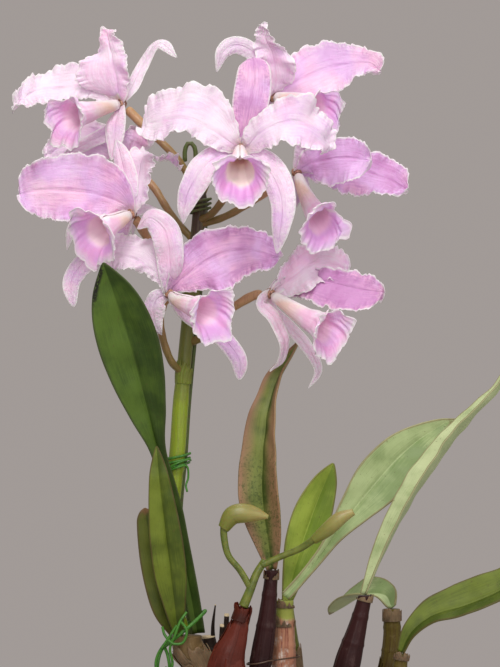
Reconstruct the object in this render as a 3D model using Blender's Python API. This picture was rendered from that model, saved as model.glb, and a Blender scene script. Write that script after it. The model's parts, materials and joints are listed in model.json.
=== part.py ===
"""A cattleya orchid in flower in a clay pot: bulbs on a creeping rhizome, leathery leaves, a staked stem of
eight blooms and a young stem with two buds. Lengths are millimetres here and metres in the scene."""

import math
import random
from dataclasses import dataclass

import bmesh
import bpy
import numpy as np
from mathutils import Matrix, Vector

MM = 0.001

# The plant is drawn as it looks from the front. EYE is where it is looked at from, and seen() puts a point that
# shows at (x, z) in the plane of the flower stem at its own depth y, with -y towards the eye.
EYE = (-24.0, -1600.0, 370.0)

# Pot and bark
POT_HEIGHT = 130.0
POT_TOP_RADIUS = 78.0
POT_FOOT_RADIUS = 56.0
POT_WALL = 6.0
POT_FLOOR = 9.0
RIM_HEIGHT = 20.0
RIM_OVERHANG = 4.0
DRAIN_RADIUS = 5.0
DRAIN_CIRCLE = 30.0
POT_SIDES = 36
BARK_TOP = 118.0
CHIPS = 44
CHIP_REACH = 7.0
CHIP_RISE = 6.0
CHIP_TILT = 0.35
BARK_LOW = -3.0
BARK_HIGH = 7.0
ROOT_BED = 14.0
EDGE_ROUND = 1.5

# Clearances and thicknesses
SEAT_GAP = 0.3
FOOT_GAP = 0.5
PETAL_THICKNESS = 0.8
LIP_THICKNESS = 0.9
LEAF_THICKNESS = 1.8
HEART_RADIUS = 4.2
TEPAL_BASE = 0.15

# Stems
STEM_RADIUS = 4.2
SHEATH_RADIUS = 4.8
SHEATH_TOP = 338.0
SCAPE_FOOT_RADIUS = 3.2
SCAPE_TIP_RADIUS = 3.0
BRACT_RADII = (5.4, 5.6, 4.6, 2.4, 0.8)
PEDICEL_FOOT_RADIUS = 2.6
PEDICEL_RADIUS = 2.3
OVARY_RADIUS = 2.7
OVARY_TIP_RADIUS = 2.0
OVARY_LENGTH = 20.0
STALK_RINGS = 8
STAKE_RADIUS = 1.4
TIE_RADIUS = 0.8
LEAF_TIE_RADIUS = 1.1
THIN_TIE_RADIUS = 0.5
TIE_TILT = 1.6
BULB_FOOT = 6.0
BULB_CAP = 0.8

# Outline of a blade: half width of its neck as a share of the widest, and, as shares of its length, where
# the neck ends and where it is widest. The last number is how blunt its tip is, with 2 for a half ellipse.
PETAL_OUTLINE = (0.22, 0.0, 0.58, 2.3)
SEPAL_OUTLINE = (0.45, 0.0, 0.42, 1.7)
LEAF_OUTLINE = (0.22, 0.0, 0.5, 1.9)
STALKED_OUTLINE = (0.22, 0.5, 0.8, 1.9)
LANCE_OUTLINE = (0.25, 0.0, 0.36, 1.35)
TAPERED_OUTLINE = (0.5, 0.0, 0.38, 1.5)
TIP_SHARE = 0.14
TURN_SHARE = 0.35

# Lip, from its base to its margin: the share of its axis, its radius and half of the angle that it wraps
LIP_PROFILE = [
    (0, 3.2, 168), (0.34, 5.2, 170), (0.62, 7.2, 166), (0.82, 9.6, 150), (0.94, 13.5, 126), (1, 18, 104),
]
LIP_FRILL = 1.6
LIP_FRILLS = 5
COLUMN_RADII = (2.2, 1.7, 1.8, 2.0, 1.4)


@dataclass
class Blade:
    """A petal, sepal or leaf: its midrib after the base, its full width, where its face looks at the base, how
    far it has rolled about the midrib at the base and at the tip, and how much it is cupped and waved."""

    line: list
    width: float
    front: tuple
    roll: tuple = (0, 0)
    cup: float = 20
    wave: float = 0
    waves: float = 2
    outline: tuple = ()


@dataclass
class Bloom:
    heart: tuple
    tepals: list
    lip: list
    lip_up: tuple
    stalk: list
    lip_size: float = 1.0


FRONT = (0, -1, 0)


def petal(line, width, front=FRONT, roll=(0, 0), cup=18, wave=2.4, waves=2.2):
    return Blade(line, width, front, roll, cup, wave, waves, PETAL_OUTLINE)


def sepal(line, width, front=FRONT, roll=(0, 0), cup=-22, wave=0.5, waves=1.2):
    return Blade(line, width, front, roll, cup, wave, waves, SEPAL_OUTLINE)


def tapered(line, width, front=FRONT, roll=(0, 0)):
    return Blade(line, width, front, roll, 18, 2.2, 2.2, TAPERED_OUTLINE)


# Each point is (x, z, y): where it shows in the plane of the stem, then its depth
BLOOMS = {
    "bloom_upper_left": Bloom(
        heart=(-101, 508, 8),
        tepals=[
            sepal([(-94, 520, 14), (-86, 536, 20), (-78, 544, 20), (-68, 536, 12)], 13, (-0.2, -0.95, 0.1),
                  (0, 30)),
            tapered([(-104, 522, 2), (-108, 537, 3), (-110, 551, 12)], 31, (-0.3, -0.9, 0.1)),
            petal([(-119, 518, 14), (-142, 517, 14), (-160, 512, 8), (-164, 503, -2)], 28, (-0.2, -0.8, 0.5)),
            sepal([(-106, 494, 11), (-123, 484, 7), (-140, 473, 0)], 12, (-0.3, -0.9, 0.4)),
            sepal([(-100, 496, 5), (-104, 485, 0), (-107, 474, -4)], 15, (-0.3, -0.9, 0.2)),
        ],
        lip=[(-117, 503, -2), (-138, 496, -12)],
        lip_up=(0, 0, 1),
        stalk=[(-54, 452, 0), (-67, 474, 2), (-84, 491, 5), (-92.5, 499.5, 7)],
    ),
    "bloom_upper_right": Bloom(
        heart=(-11, 512, 38),
        tepals=[
            sepal([(-14, 525, 32), (-20, 537, 26), (-31, 543, 22), (-40, 539, 18), (-44, 527, 20)], 14,
                  (0.3, -0.9, 0.2)),
            tapered([(-7, 525, 30), (-9, 539, 24), (-15, 548, 18), (-22, 554, 14)], 26, (0.3, -0.9, 0.1),
                    (0, 40)),
            petal([(4, 523, 44), (26, 530, 48), (43, 532, 48), (54, 526, 44)], 32, (0.1, -0.9, 0.2)),
            sepal([(-16, 501, 44), (-19, 484, 54)], 14, (0.2, -0.9, -0.2)),
            sepal([(0, 503, 46), (12, 490, 54)], 14, (0.4, -0.8, 0.3)),
        ],
        lip=[(0, 510, 30), (21, 503, 14)],
        lip_up=(0, 0, 1),
        stalk=[(-53, 454, 0), (-45, 471, 8), (-30, 492, 20), (-19, 505, 30)],
    ),
    "bloom_centre": Bloom(
        heart=(-30, 482, -48),
        tepals=[
            sepal([(-28, 501, -54), (-25, 522, -54), (-23, 534, -47), (-24, 536, -38)], 19, FRONT),
            petal([(-41, 498, -54), (-59, 504, -58), (-75, 501, -52), (-88, 493, -42)], 36, (0, -0.95, 0.2)),
            petal([(-18, 497, -58), (0, 498, -60), (17, 491, -54), (28, 482, -46)], 36, (0, -0.95, 0.2)),
            sepal([(-42, 478, -52), (-55, 471, -58), (-61, 456, -58), (-64, 434, -54)], 15, (0, -0.95, 0.2)),
            sepal([(-16, 474, -53), (-8, 459, -58), (-5, 441, -60), (-7, 417, -56)], 17, FRONT),
        ],
        lip=[(-30, 475, -64), (-30, 464, -84)],
        lip_up=(0, -0.3, 1),
        stalk=[(-55, 438, 0), (-48, 441, -8), (-41, 449, -18), (-34, 462, -30), (-31, 473, -39)],
    ),
    "bloom_right": Bloom(
        heart=(4, 467, -2),
        tepals=[
            sepal([(9, 480, -6), (13, 488, -12), (17, 497, -14)], 14, (0.5, -0.8, 0)),
            petal([(17, 474, -14), (33, 476, -20), (49, 474, -22)], 30, (0.1, -0.9, 0.3)),
            petal([(24, 469, 6), (45, 467, 8), (60, 463, 6), (71, 457, 2)], 28, (0.1, -0.9, 0.2)),
            sepal([(10, 457, 6), (13, 446, 10), (17, 433, 12)], 14, (0.5, -0.7, 0.4)),
            sepal([(7, 453, 9), (4, 436, 14)], 13, (0.2, -0.9, 0.2)),
        ],
        lip=[(9, 456, -10), (17, 443, -18), (25, 434, -27)],
        lip_up=(0.9, -0.2, 0.4),
        stalk=[(-54, 436, 0), (-46, 437.5, -3), (-37, 441, -5), (-28, 446, -6), (-12, 456, -6),
               (-4, 461.5, -4)],
        lip_size=0.86,
    ),
    "bloom_left": Bloom(
        heart=(-95, 442, -30),
        tepals=[
            sepal([(-98, 458, -34), (-101, 474, -30), (-104, 486, -20)], 15, (-0.3, -0.9, 0.1)),
            petal([(-114, 453, -33), (-135, 456, -37), (-151, 458, -38), (-163, 455, -36)], 38,
                  (0, -0.95, 0.2)),
            tapered([(-91, 456, -34), (-86, 467, -30), (-75, 474, -22), (-64, 469, -14)], 31, (-0.4, -0.8, 0.2),
                    (0, 40)),
            sepal([(-106, 428, -17), (-121, 416, -12), (-131, 402, -14), (-130, 386, -16)], 16,
                  (-0.2, -0.9, 0.2)),
            sepal([(-88, 447, -22), (-79, 445, -10)], 13, (0.2, -0.7, 0.6)),
        ],
        lip=[(-103, 438, -40), (-119, 429, -54)],
        lip_up=(0.3, -0.4, 1),
        stalk=[(-58, 396, 0), (-72, 411, -8), (-84, 425, -14), (-89.5, 434, -20)],
    ),
    "bloom_left_back": Bloom(
        heart=(-98, 470, 22),
        tepals=[
            sepal([(-88, 483, 30), (-82, 491, 44), (-80, 493, 58)], 14, (-0.8, 0.3, 0.3)),
            petal([(-113, 483, 18), (-132, 483, 19), (-148, 477, 18)], 29, (-0.1, -0.9, 0.3)),
            petal([(-96, 480, 14), (-93, 488, 10), (-93, 494, 12)], 18, (0.2, -0.9, 0.2)),
            sepal([(-103, 458, 17), (-120, 444, 14), (-131, 432, 12), (-134, 420, 12)], 13,
                  (-0.6, -0.6, 0.4), (10, 30)),
            sepal([(-92, 458, 28), (-93, 442, 38), (-95, 426, 46)], 14, (-0.8, 0.3, 0.3)),
        ],
        lip=[(-106, 466, 35), (-118, 459, 52)],
        lip_up=(0, 0, 1),
        stalk=[(-56, 424, 0), (-68, 437, 6), (-75, 447, 10), (-82, 458, 15), (-91, 465.5, 19)],
    ),
    "bloom_lower_middle": Bloom(
        heart=(-72.5, 394, -34),
        tepals=[
            sepal([(-72, 413, -44), (-75, 431, -46), (-84, 439, -42), (-92, 433, -37)], 18, (0, -0.95, 0.1)),
            petal([(-60, 405, -38), (-42, 413, -38), (-24, 418, -34), (-6, 420, -27)], 42, (0, -0.95, 0.2)),
            petal([(-84, 407, -33), (-99, 417, -28), (-115, 420, -22)], 29, (0, -0.95, 0.2)),
            sepal([(-80, 390, -34), (-82, 379, -32), (-77, 369, -30)], 15, (0, -0.95, 0.2)),
            sepal([(-61, 381, -30), (-43, 370, -29), (-31, 355, -28), (-30, 342, -26)], 13, (0, -0.95, 0.2)),
        ],
        lip=[(-65, 388, -46), (-46, 378, -62)],
        lip_up=(-0.2, -0.5, 1),
        stalk=[(-64, 346, 0), (-71, 353, -8), (-76, 366, -12), (-78, 379, -18), (-76.5, 387, -24)],
    ),
    "bloom_lower_right": Bloom(
        heart=(-12, 394, -18),
        tepals=[
            sepal([(3, 409, -6), (16, 419, 0), (25, 424, 4)], 14, (0.2, -0.9, 0.1), (50, 60)),
            petal([(3, 405, -12), (17, 413, -6), (36, 409, -2)], 33, (0, -0.95, 0.3)),
            petal([(4, 402, -8), (22, 401, -14), (39, 397, -20), (57, 395, -22)], 30, (0.1, -0.9, 0.3)),
            sepal([(-17, 388, -20), (-9, 379, -24), (-4, 366, -23), (-12, 347, -18)], 12, (0.1, -0.9, 0.3)),
            sepal([(-10, 384, -12), (0, 374, -10), (11, 361, -11), (17, 348, -12), (11, 337, -12)], 11,
                  (0.2, -0.9, 0.3)),
        ],
        lip=[(0, 385, -28), (12, 376, -38), (26, 367, -46)],
        lip_up=(0.4, -0.3, 0.8),
        stalk=[(-59, 365, 0), (-48, 370, -6), (-37, 383, -12), (-28, 389.5, -16), (-21, 393, -18)],
    ),
}

LEAVES = {
    "leaf_tall_left": Blade(
        [(-55.5, 191, 4.5), (-59, 211, 1), (-65, 243, -7), (-70, 270, -12), (-79, 300, -19), (-87, 330, -29),
         (-95, 360, -38), (-103, 387, -46), (-112, 413, -55)], 41, FRONT, (0, 0), 22, 0, 1, STALKED_OUTLINE),
    "leaf_short_left": Blade(
        [(-67, 190.5, -6.5), (-69, 207, -14), (-72, 230, -22), (-75.5, 258, -29), (-78.5, 285, -33),
         (-80, 304, -34)],
        23, FRONT, (0, 0), -18, 0, 1, LEAF_OUTLINE),
    "leaf_small_left": Blade(
        [(-70.5, 190.5, -2.5), (-76, 206, -8), (-81, 230, -9), (-85, 250, -11), (-87, 266, -12)],
        15, FRONT, (0, 0), -15, 0, 1, PETAL_OUTLINE),
    "leaf_middle": Blade(
        [(-11, 229.5, -5), (-15, 256, -6), (-17, 282, -5), (-14, 312, -1), (-9, 330, 4), (-3.5, 347, 9),
         (4, 358, 14), (7, 368, 18)], 26, FRONT, (0, 60), 30, 0, 1, LANCE_OUTLINE),
    "leaf_back_right": Blade(
        [(-3, 212.5, 10), (3, 219, 11), (18, 237, 15), (36, 262, 20), (66, 297, 30), (87, 313, 38),
         (100, 319, 42)],
        27, FRONT, (0, 0), 22, 0, 1, STALKED_OUTLINE),
    "leaf_far_right": Blade(
        [(45, 214.5, -6), (57, 243, 2), (75, 276, 12), (96, 306, 22), (113, 325, 28), (124, 337, 32),
         (133, 353, 34)],
        21, (-0.5, -0.7, 0.5), (20, 40), 30, 0, 1, LEAF_OUTLINE),
    "leaf_low_right": Blade(
        [(67, 180, 4), (73, 192, 4), (85, 202, 4), (103, 208, 3), (129, 219, 2), (153, 240, 0)], 26,
        (-0.3, -0.6, 0.8), (0, 0), 25, 0, 1, LEAF_OUTLINE),
    "leaf_pale_middle": Blade(
        [(-2, 209.5, 32), (4, 234, 36), (14, 264, 44), (26, 293, 50)], 24, FRONT, (0, 0), 22, 0, 1,
        LEAF_OUTLINE),
    "leaf_drooping": Blade(
        [(61, 206.5, 26), (56, 214, 38), (40, 213, 58), (24, 202, 78)], 27, (-0.1, -0.7, 0.7), (0, 0), 22, 0, 1,
        LEAF_OUTLINE),
}


@dataclass
class Bulb:
    """A pseudobulb, from its foot (x, y) on the rhizome through the points of its axis."""

    foot: tuple
    line: list
    radii: tuple
    flatness: float = 1.0


BULBS = {
    "bulb_papery": Bulb((-46, 4), [(-54, 170, 2), (-61, 182, -0.5), (-62, 188, -1)], (5, 7.5, 9)),
    "bulb_cut_stump": Bulb((-42, 20), [(-44, 160, 20), (-47, 178, 20), (-49, 188, 20)], (4.5, 5.5, 4.2)),
    "bulb_new_growth": Bulb((-36, -16), [(-38, 170, -18), (-33, 188, -18), (-28, 204, -18)],
                            (5.5, 8.5, 3.6), 0.62),
    "bulb_dark_middle": Bulb((-22, -4), [(-18, 170, -5), (-14, 198, -5), (-11, 227, -5)], (5, 6.8, 3.9)),
    "bulb_striped": Bulb((-5, 12), [(-4, 160, 11), (-3.5, 185, 10), (-3, 209, 10)], (6, 7.6, 5.2)),
    "bulb_back": Bulb((6, 34), [(2, 160, 33), (0, 185, 32), (-2, 207, 32)], (5, 6.2, 4)),
    "bulb_dark_right": Bulb((26, -6), [(34, 170, -6), (40, 192, -6), (45, 212, -6)], (5.5, 8.2, 4.2)),
    "bulb_brown_right": Bulb((48, 24), [(58, 165, 25), (61, 185, 26), (61, 204, 26)], (5, 6, 5)),
    "bulb_low_right": Bulb((56, 2), [(60, 150, 3), (65, 166, 4), (67, 177, 4)], (4.5, 5.2, 4)),
}

# What is left of older bulbs beside the cut stump: points (x, y, z) and radii
OLD_CUTS = [
    ([(-46.4, 20, 183), (-46.5, 20, 193), (-45, 20, 205.5)], (1.5, 1.0, 0.4)),
    ([(-44, 18, 132), (-42, 14, 160), (-40.5, 10, 194.5)], (2.2, 2.3, 1.7)),
    ([(-40, 17, 132), (-39.5, 12, 165), (-38, 9, 201)], (2.2, 2.2, 1.5)),
]

# The bulb that carries each leaf
LEAF_BULBS = {
    "leaf_tall_left": "bulb_papery", "leaf_short_left": "bulb_papery", "leaf_small_left": "bulb_papery",
    "leaf_middle": "bulb_dark_middle", "leaf_back_right": "bulb_striped", "leaf_far_right": "bulb_dark_right",
    "leaf_low_right": "bulb_low_right", "leaf_pale_middle": "bulb_back", "leaf_drooping": "bulb_brown_right",
}

# Places on the rhizome (x, y), and where its side branches start and end
RHIZOME = [(-60, 14), (-46, 4), (-36, -16), (-22, -4), (-5, 12), (10, 6), (26, -6), (42, -4), (56, 2), (64, 6)]
BRANCHES = [[(-46, 4), (-42, 20)], [(-5, 12), (6, 34)], [(56, 2), (48, 24)]]
RHIZOME_RADIUS = 5.0
RHIZOME_Z = 124.5
ROOT_RADIUS = 1.9
# Roots from the rhizome over the bark, and the last two over the rim: (x, y, z)
ROOTS = [
    [(-36, -16, 124), (-30, -34, 122.5), (-18, -50, 122), (2, -60, 121.5)],
    [(26, -6, 124), (30, -26, 122.5), (44, -40, 122), (52, -46, 121.5)],
    [(6, 34, 124), (16, 46, 122.5), (34, 52, 121.5)],
    [(-60, 14, 124), (-67, 23, 131), (-74, 26.3, 135.6), (-79.5, 28, 132), (-80, 28, 121), (-78, 28, 104),
     (-74, 27, 84)],
    [(-5, 12, 124), (-8, -20, 123), (-14, -44, 124.5), (-20, -66, 132), (-22, -73, 134.5), (-24, -80, 131.5),
     (-24.4, -81, 120), (-23.2, -77.5, 100), (-21, -73, 80)],
]

SCAPE = [(-63, 190.8, 0.5), (-69, 203, 1), (-73.5, 222, 1), (-73.5, 244, 0), (-70.5, 270, 0), (-67.5, 300, 0),
         (-65.4, 330, 0), (-61.5, 372, 0), (-57, 414, 0), (-54.5, 440, 0), (-53.5, 456, 0)]
BRACTS = [(-64, 343), (-59.5, 392)]
STAKE = [(-46, 60, 24), (-54, 130, 24), (-60, 190, 18), (-66, 250, 9), (-62.5, 300, 5.5), (-60.5, 330, 5.5),
         (-56.5, 372, 5.5), (-52, 414, 6), (-51, 449, 7)]
STAKE_HOOK = [(-56, 470, 9), (-57, 481, 9), (-60.5, 484.5, 9), (-63, 480, 9), (-63, 473, 9)]
TIE_HEIGHTS = [296, 449]
# The wire round the leaf bases is a circle that rises along x: its middle (x, y, z), its radius and how much
# it rises. The loop hangs from it.
LEAF_TIE = ((-63.5, -2, 193), 12.75, 0.85)
LEAF_TIE_LOOP = [(-76.0, -4, 182.6), (-78.3, -8, 177), (-79, -9, 169), (-75.5, -9, 163), (-72, -10, 169),
                 (-73, -10, 178), (-75.3, -5.5, 183)]
THIN_TIE_HEIGHT = 174

BUD_STEM = [(-28, 206.4, -18), (-24, 216, -18), (-20, 226, -17), (-15, 234, -16)]
BUD_STALKS = {
    "left": [(-23.5, 217, -18), (-30, 228, -19), (-37, 237, -20), (-39.6, 248, -20), (-39.5, 256, -20)],
    "right": [(-17, 231, -17), (-6, 236, -18), (6, 241, -20), (15, 247, -22)],
}
BUDS = {
    "left": ([(-40, 253, -20), (-34, 261, -20), (-24, 262, -20), (-13, 260, -20)], (3.5, 5.8, 5.2, 1.2)),
    "right": ([(14, 246, -22), (22, 252, -23), (30, 259, -24), (38, 263, -25)], (2.6, 4.2, 4.3, 2.0)),
}


def seen(point):
    """The real place of a point that shows at (x, z) in the plane of the stem and lies at depth y."""
    x, z, y = point
    share = (y - EYE[1]) / -EYE[1]
    return np.array([EYE[0] + (x - EYE[0]) * share, y, EYE[2] + (z - EYE[2]) * share])


def smooth_path(points, count):
    """Points evenly spaced along a smooth curve through the given ones."""
    points = np.asarray(points, float)
    ends = [2 * points[0] - points[1]], [2 * points[-1] - points[-2]]
    padded = np.vstack([ends[0], points, ends[1]])
    fine = []
    for a, b, c, d in zip(padded, padded[1:], padded[2:], padded[3:]):
        for t in np.linspace(0, 1, 16, endpoint=False):
            bend = (2 * a - 5 * b + 4 * c - d) * t**2 + (3 * b - a - 3 * c + d) * t**3
            fine.append(b + 0.5 * ((c - a) * t + bend))
    fine = np.array(fine + [points[-1]])
    length = np.concatenate([[0], np.cumsum(np.linalg.norm(np.diff(fine, axis=0), axis=1))])
    even = np.linspace(0, length[-1], count)
    return np.stack([np.interp(even, length, fine[:, axis]) for axis in range(3)], axis=1)


def path_frames(path, front):
    """At each point of a path its direction, its side and its face, which turn with it and don't twist."""
    directions = np.gradient(path, axis=0)
    directions /= np.linalg.norm(directions, axis=1)[:, None]
    face = np.array(front, float)
    faces = []
    for direction in directions:
        face = face - direction * face.dot(direction)
        face = face / np.linalg.norm(face)
        faces.append(face)
    faces = np.array(faces)
    return directions, np.cross(directions, faces), faces


def half_width(share, outline):
    neck, neck_end, widest, bluntness = outline
    if share < widest:
        rise = max(0, share - neck_end) / (widest - neck_end)
        return neck + (1 - neck) * math.sin(rise * math.pi / 2) ** 1.2
    fall = (share - widest) / (1 - widest)
    return max(TIP_SHARE, (1 - fall**bluntness) ** (1 / bluntness))


def blade_grid(blade, base, rows, columns, facing=None):
    """The middle surface of a blade as rows of points from its base to its tip. A blade that has a facing
    starts with its face that way and turns to its own front further on."""
    path = smooth_path([*base, *[seen(point) for point in blade.line]], rows)
    directions, sides, faces = path_frames(path, blade.front)
    cup = math.radians(blade.cup)
    grid = np.zeros((rows, columns, 3))
    for row, share in enumerate(np.linspace(0, 1, rows)):
        if facing is not None and share < TURN_SHARE:
            face = faces[row] * share / TURN_SHARE + facing * (1 - share / TURN_SHARE)
            face -= directions[row] * face.dot(directions[row])
            faces[row] = face / np.linalg.norm(face)
            sides[row] = np.cross(directions[row], faces[row])
        roll = math.radians(blade.roll[0] + (blade.roll[1] - blade.roll[0]) * share)
        side = math.cos(roll) * sides[row] + math.sin(roll) * faces[row]
        face = math.cos(roll) * faces[row] - math.sin(roll) * sides[row]
        half = blade.width / 2 * half_width(share, blade.outline)
        for column, across in enumerate(np.linspace(-1, 1, columns)):
            bend = cup * across
            ripple = blade.wave * abs(across) ** 2 * math.sin(math.tau * (blade.waves * share + 0.25 * across))
            rise = half * (1 - math.cos(bend)) / cup + ripple * share
            grid[row, column] = path[row] + side * half * math.sin(bend) / cup + face * rise
    return grid


def lip_grid(bloom, rows, columns):
    """The middle surface of a lip: a tube, slit along its top, that flares to a frilled margin."""
    heart = seen(bloom.heart)
    line = [seen(point) for point in bloom.lip]
    out = (line[0] - heart) / np.linalg.norm(line[0] - heart)
    inner = LIP_PROFILE[0][1] * bloom.lip_size - LIP_THICKNESS / 2
    start = heart + out * math.sqrt((HEART_RADIUS + SEAT_GAP) ** 2 - inner**2)
    path = smooth_path([start, *line], 24)
    directions, sides, ups = path_frames(path, bloom.lip_up)
    along, radii, wraps = zip(*LIP_PROFILE)
    steps = np.linspace(0, 1, len(LIP_PROFILE))
    grid = np.zeros((rows, columns, 3))
    for row, share in enumerate(np.linspace(0, 1, rows)):
        place = np.interp(share, steps, along) * (len(path) - 1)
        centre, side, up = (
            np.array([np.interp(place, range(len(path)), values[:, axis]) for axis in range(3)])
            for values in (path, sides, ups)
        )
        radius = np.interp(share, steps, radii) * bloom.lip_size
        wrap = math.radians(np.interp(share, steps, wraps))
        for column, across in enumerate(np.linspace(-1, 1, columns)):
            angle = wrap * across
            frill = LIP_FRILL * share**4 * math.sin(LIP_FRILLS * math.pi * across)
            reach = radius + frill
            grid[row, column] = centre + reach * (math.sin(angle) * side - math.cos(angle) * up)
    return grid


def shell(grid, thickness):
    """Points and triangles of a closed sheet this thick round a grid, cut alike on both of its faces."""
    rows, columns = grid.shape[:2]
    normals = np.cross(np.gradient(grid, axis=0), np.gradient(grid, axis=1))
    normals /= np.linalg.norm(normals, axis=2)[:, :, None]
    points = np.concatenate([(grid + normals * side * thickness / 2).reshape(-1, 3) for side in (1, -1)])
    below = rows * columns
    faces = []
    for row in range(rows - 1):
        for column in range(columns - 1):
            a = row * columns + column
            b, c, d = a + 1, a + columns + 1, a + columns
            faces += [(a, c, b), (a, d, c)]
            faces += [(a + below, b + below, c + below), (a + below, c + below, d + below)]
    border = [column for column in range(columns)]
    border += [row * columns + columns - 1 for row in range(1, rows)]
    border += [(rows - 1) * columns + column for column in range(columns - 2, -1, -1)]
    border += [row * columns for row in range(rows - 2, 0, -1)]
    for a, b in zip(border, border[1:] + border[:1]):
        faces += [(a, b, b + below), (a, b + below, a + below)]
    return points, faces


def tube(path, radii, sides=8, flatness=1.0, front=(0, -1, 0.01)):
    """Points and faces of a closed tube along a path, with a flat end at each end."""
    directions, across, faces_of = path_frames(np.asarray(path), front)
    points = []
    for place, side, face, radius in zip(path, across, faces_of, radii):
        for turn in range(sides):
            angle = math.tau * turn / sides
            points.append(place + radius * (math.cos(angle) * side + flatness * math.sin(angle) * face))
    faces = [tuple(range(sides - 1, -1, -1))]
    for ring in range(len(path) - 1):
        for turn in range(sides):
            a = ring * sides + turn
            b = ring * sides + (turn + 1) % sides
            faces.append((a, b, b + sides, a + sides))
    faces.append(tuple(range((len(path) - 1) * sides, len(path) * sides)))
    return points, faces


def ring(path, radius, sides=6):
    """Points and faces of a tube along a closed path."""
    count = len(path)
    points = []
    for place, before, after in zip(path, np.roll(path, 1, axis=0), np.roll(path, -1, axis=0)):
        direction = (after - before) / np.linalg.norm(after - before)
        side = np.cross(direction, (0, 0, 1))
        side /= np.linalg.norm(side)
        up = np.cross(side, direction)
        for turn in range(sides):
            angle = math.tau * turn / sides
            points.append(place + radius * (math.cos(angle) * side + math.sin(angle) * up))
    faces = []
    for step in range(count):
        for turn in range(sides):
            a = step * sides + turn
            b = step * sides + (turn + 1) % sides
            far = (step + 1) % count * sides - step * sides
            faces.append((a, b, b + far, a + far))
    return points, faces


def ball(centre, radius):
    shape = bmesh.new()
    bmesh.ops.create_icosphere(shape, subdivisions=1, radius=radius)
    points = [centre + np.array(vertex.co) for vertex in shape.verts]
    faces = [tuple(vertex.index for vertex in face.verts) for face in shape.faces]
    shape.free()
    return points, faces


def material(name, colour, roughness, metallic=0.0):
    made = bpy.data.materials.new(name)
    made.use_nodes = True
    shader = made.node_tree.nodes["Principled BSDF"]
    shader.inputs["Base Color"].default_value = (*colour, 1)
    shader.inputs["Roughness"].default_value = roughness
    shader.inputs["Metallic"].default_value = metallic
    return made


def solid(name, shape, finish):
    """An object from points in millimetres and their faces, with its normals outward."""
    points, faces = shape
    mesh = bpy.data.meshes.new(name)
    mesh.from_pydata([Vector(point) * MM for point in points], [], faces)
    check = bmesh.new()
    check.from_mesh(mesh)
    bmesh.ops.recalc_face_normals(check, faces=check.faces)
    check.to_mesh(mesh)
    check.free()
    mesh.shade_smooth()
    mesh.set_sharp_from_angle(angle=math.radians(40))
    mesh.materials.append(finish)
    made = bpy.data.objects.new(name, mesh)
    bpy.context.scene.collection.objects.link(made)
    return made


def apply_boolean(target, operation, others):
    """Joins or cuts the target with all the others, keeps the result as its mesh and removes the others."""
    group = bpy.data.collections.new("repeats")
    bpy.context.scene.collection.children.link(group)
    for other in others:
        bpy.context.scene.collection.objects.unlink(other)
        group.objects.link(other)
    boolean = target.modifiers.new("Boolean", "BOOLEAN")
    boolean.operation = operation
    boolean.solver = "EXACT"
    boolean.operand_type = "COLLECTION"
    boolean.collection = group
    bpy.context.view_layer.update()
    evaluated = target.evaluated_get(bpy.context.evaluated_depsgraph_get())
    result = bpy.data.meshes.new_from_object(evaluated)
    target.modifiers.clear()
    target.data = result
    for other in others:
        bpy.data.objects.remove(other)
    bpy.data.collections.remove(group)


def fused(name, shapes, finish):
    """One solid from several that overlap."""
    first, *rest = [solid(f"{name}_{index}", shape, finish) for index, shape in enumerate(shapes)]
    first.name = name
    apply_boolean(first, "UNION", rest)
    return first


def bloom_tepals(name, bloom, finish):
    heart = seen(bloom.heart)
    out = seen(bloom.lip[0]) - heart
    out /= np.linalg.norm(out)
    base = heart + out * HEART_RADIUS * TEPAL_BASE
    shapes = [ball(heart, HEART_RADIUS)]
    for blade in bloom.tepals:
        rows, columns = (6, 3) if blade.outline == SEPAL_OUTLINE else (7, 5)
        shapes.append(shell(blade_grid(blade, [base], rows, columns, out), PETAL_THICKNESS))
    column = smooth_path([heart, *[seen(point) for point in bloom.lip]], 9)[:5]
    shapes.append(tube(column, COLUMN_RADII, 6))
    return fused(name, shapes, finish)


def stalk_shapes(bloom):
    """A flower's stalk and its thicker ovary, which ends just behind the heart."""
    heart = seen(bloom.heart)
    line = [seen(point) for point in bloom.stalk]
    back = (line[-1] - heart) / np.linalg.norm(line[-1] - heart)
    end = heart + back * (HEART_RADIUS + SEAT_GAP)
    path = smooth_path([*line, end], STALK_RINGS)
    length = np.linalg.norm(np.diff(path, axis=0), axis=1).sum()
    ovary = 1 - OVARY_LENGTH / length
    shares = np.linspace(0, 1, STALK_RINGS)
    known = PEDICEL_FOOT_RADIUS, PEDICEL_RADIUS, OVARY_RADIUS, OVARY_RADIUS, OVARY_TIP_RADIUS
    radii = np.interp(shares, (0, ovary, ovary + 0.1, 0.97, 1), known)
    return tube(path, radii, 6)


def flower_stem(finish):
    scape = smooth_path([seen(point) for point in SCAPE], 20)
    radii = [SHEATH_RADIUS if place[2] < SHEATH_TOP else STEM_RADIUS for place in scape]
    radii[0] = SCAPE_FOOT_RADIUS
    radii[-1] = SCAPE_TIP_RADIUS
    shapes = [tube(scape, radii, 8)]
    shapes += [stalk_shapes(bloom) for bloom in BLOOMS.values()]
    for x, z in BRACTS:
        base = seen((x, z, 0))
        line = [base + (0, 0, -4), base + (1.5, 0, 3), base + (4, 0, 11)]
        shapes.append(tube(smooth_path(line, 5), BRACT_RADII, 8))
    return fused("flower_stem", shapes, finish)


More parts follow.
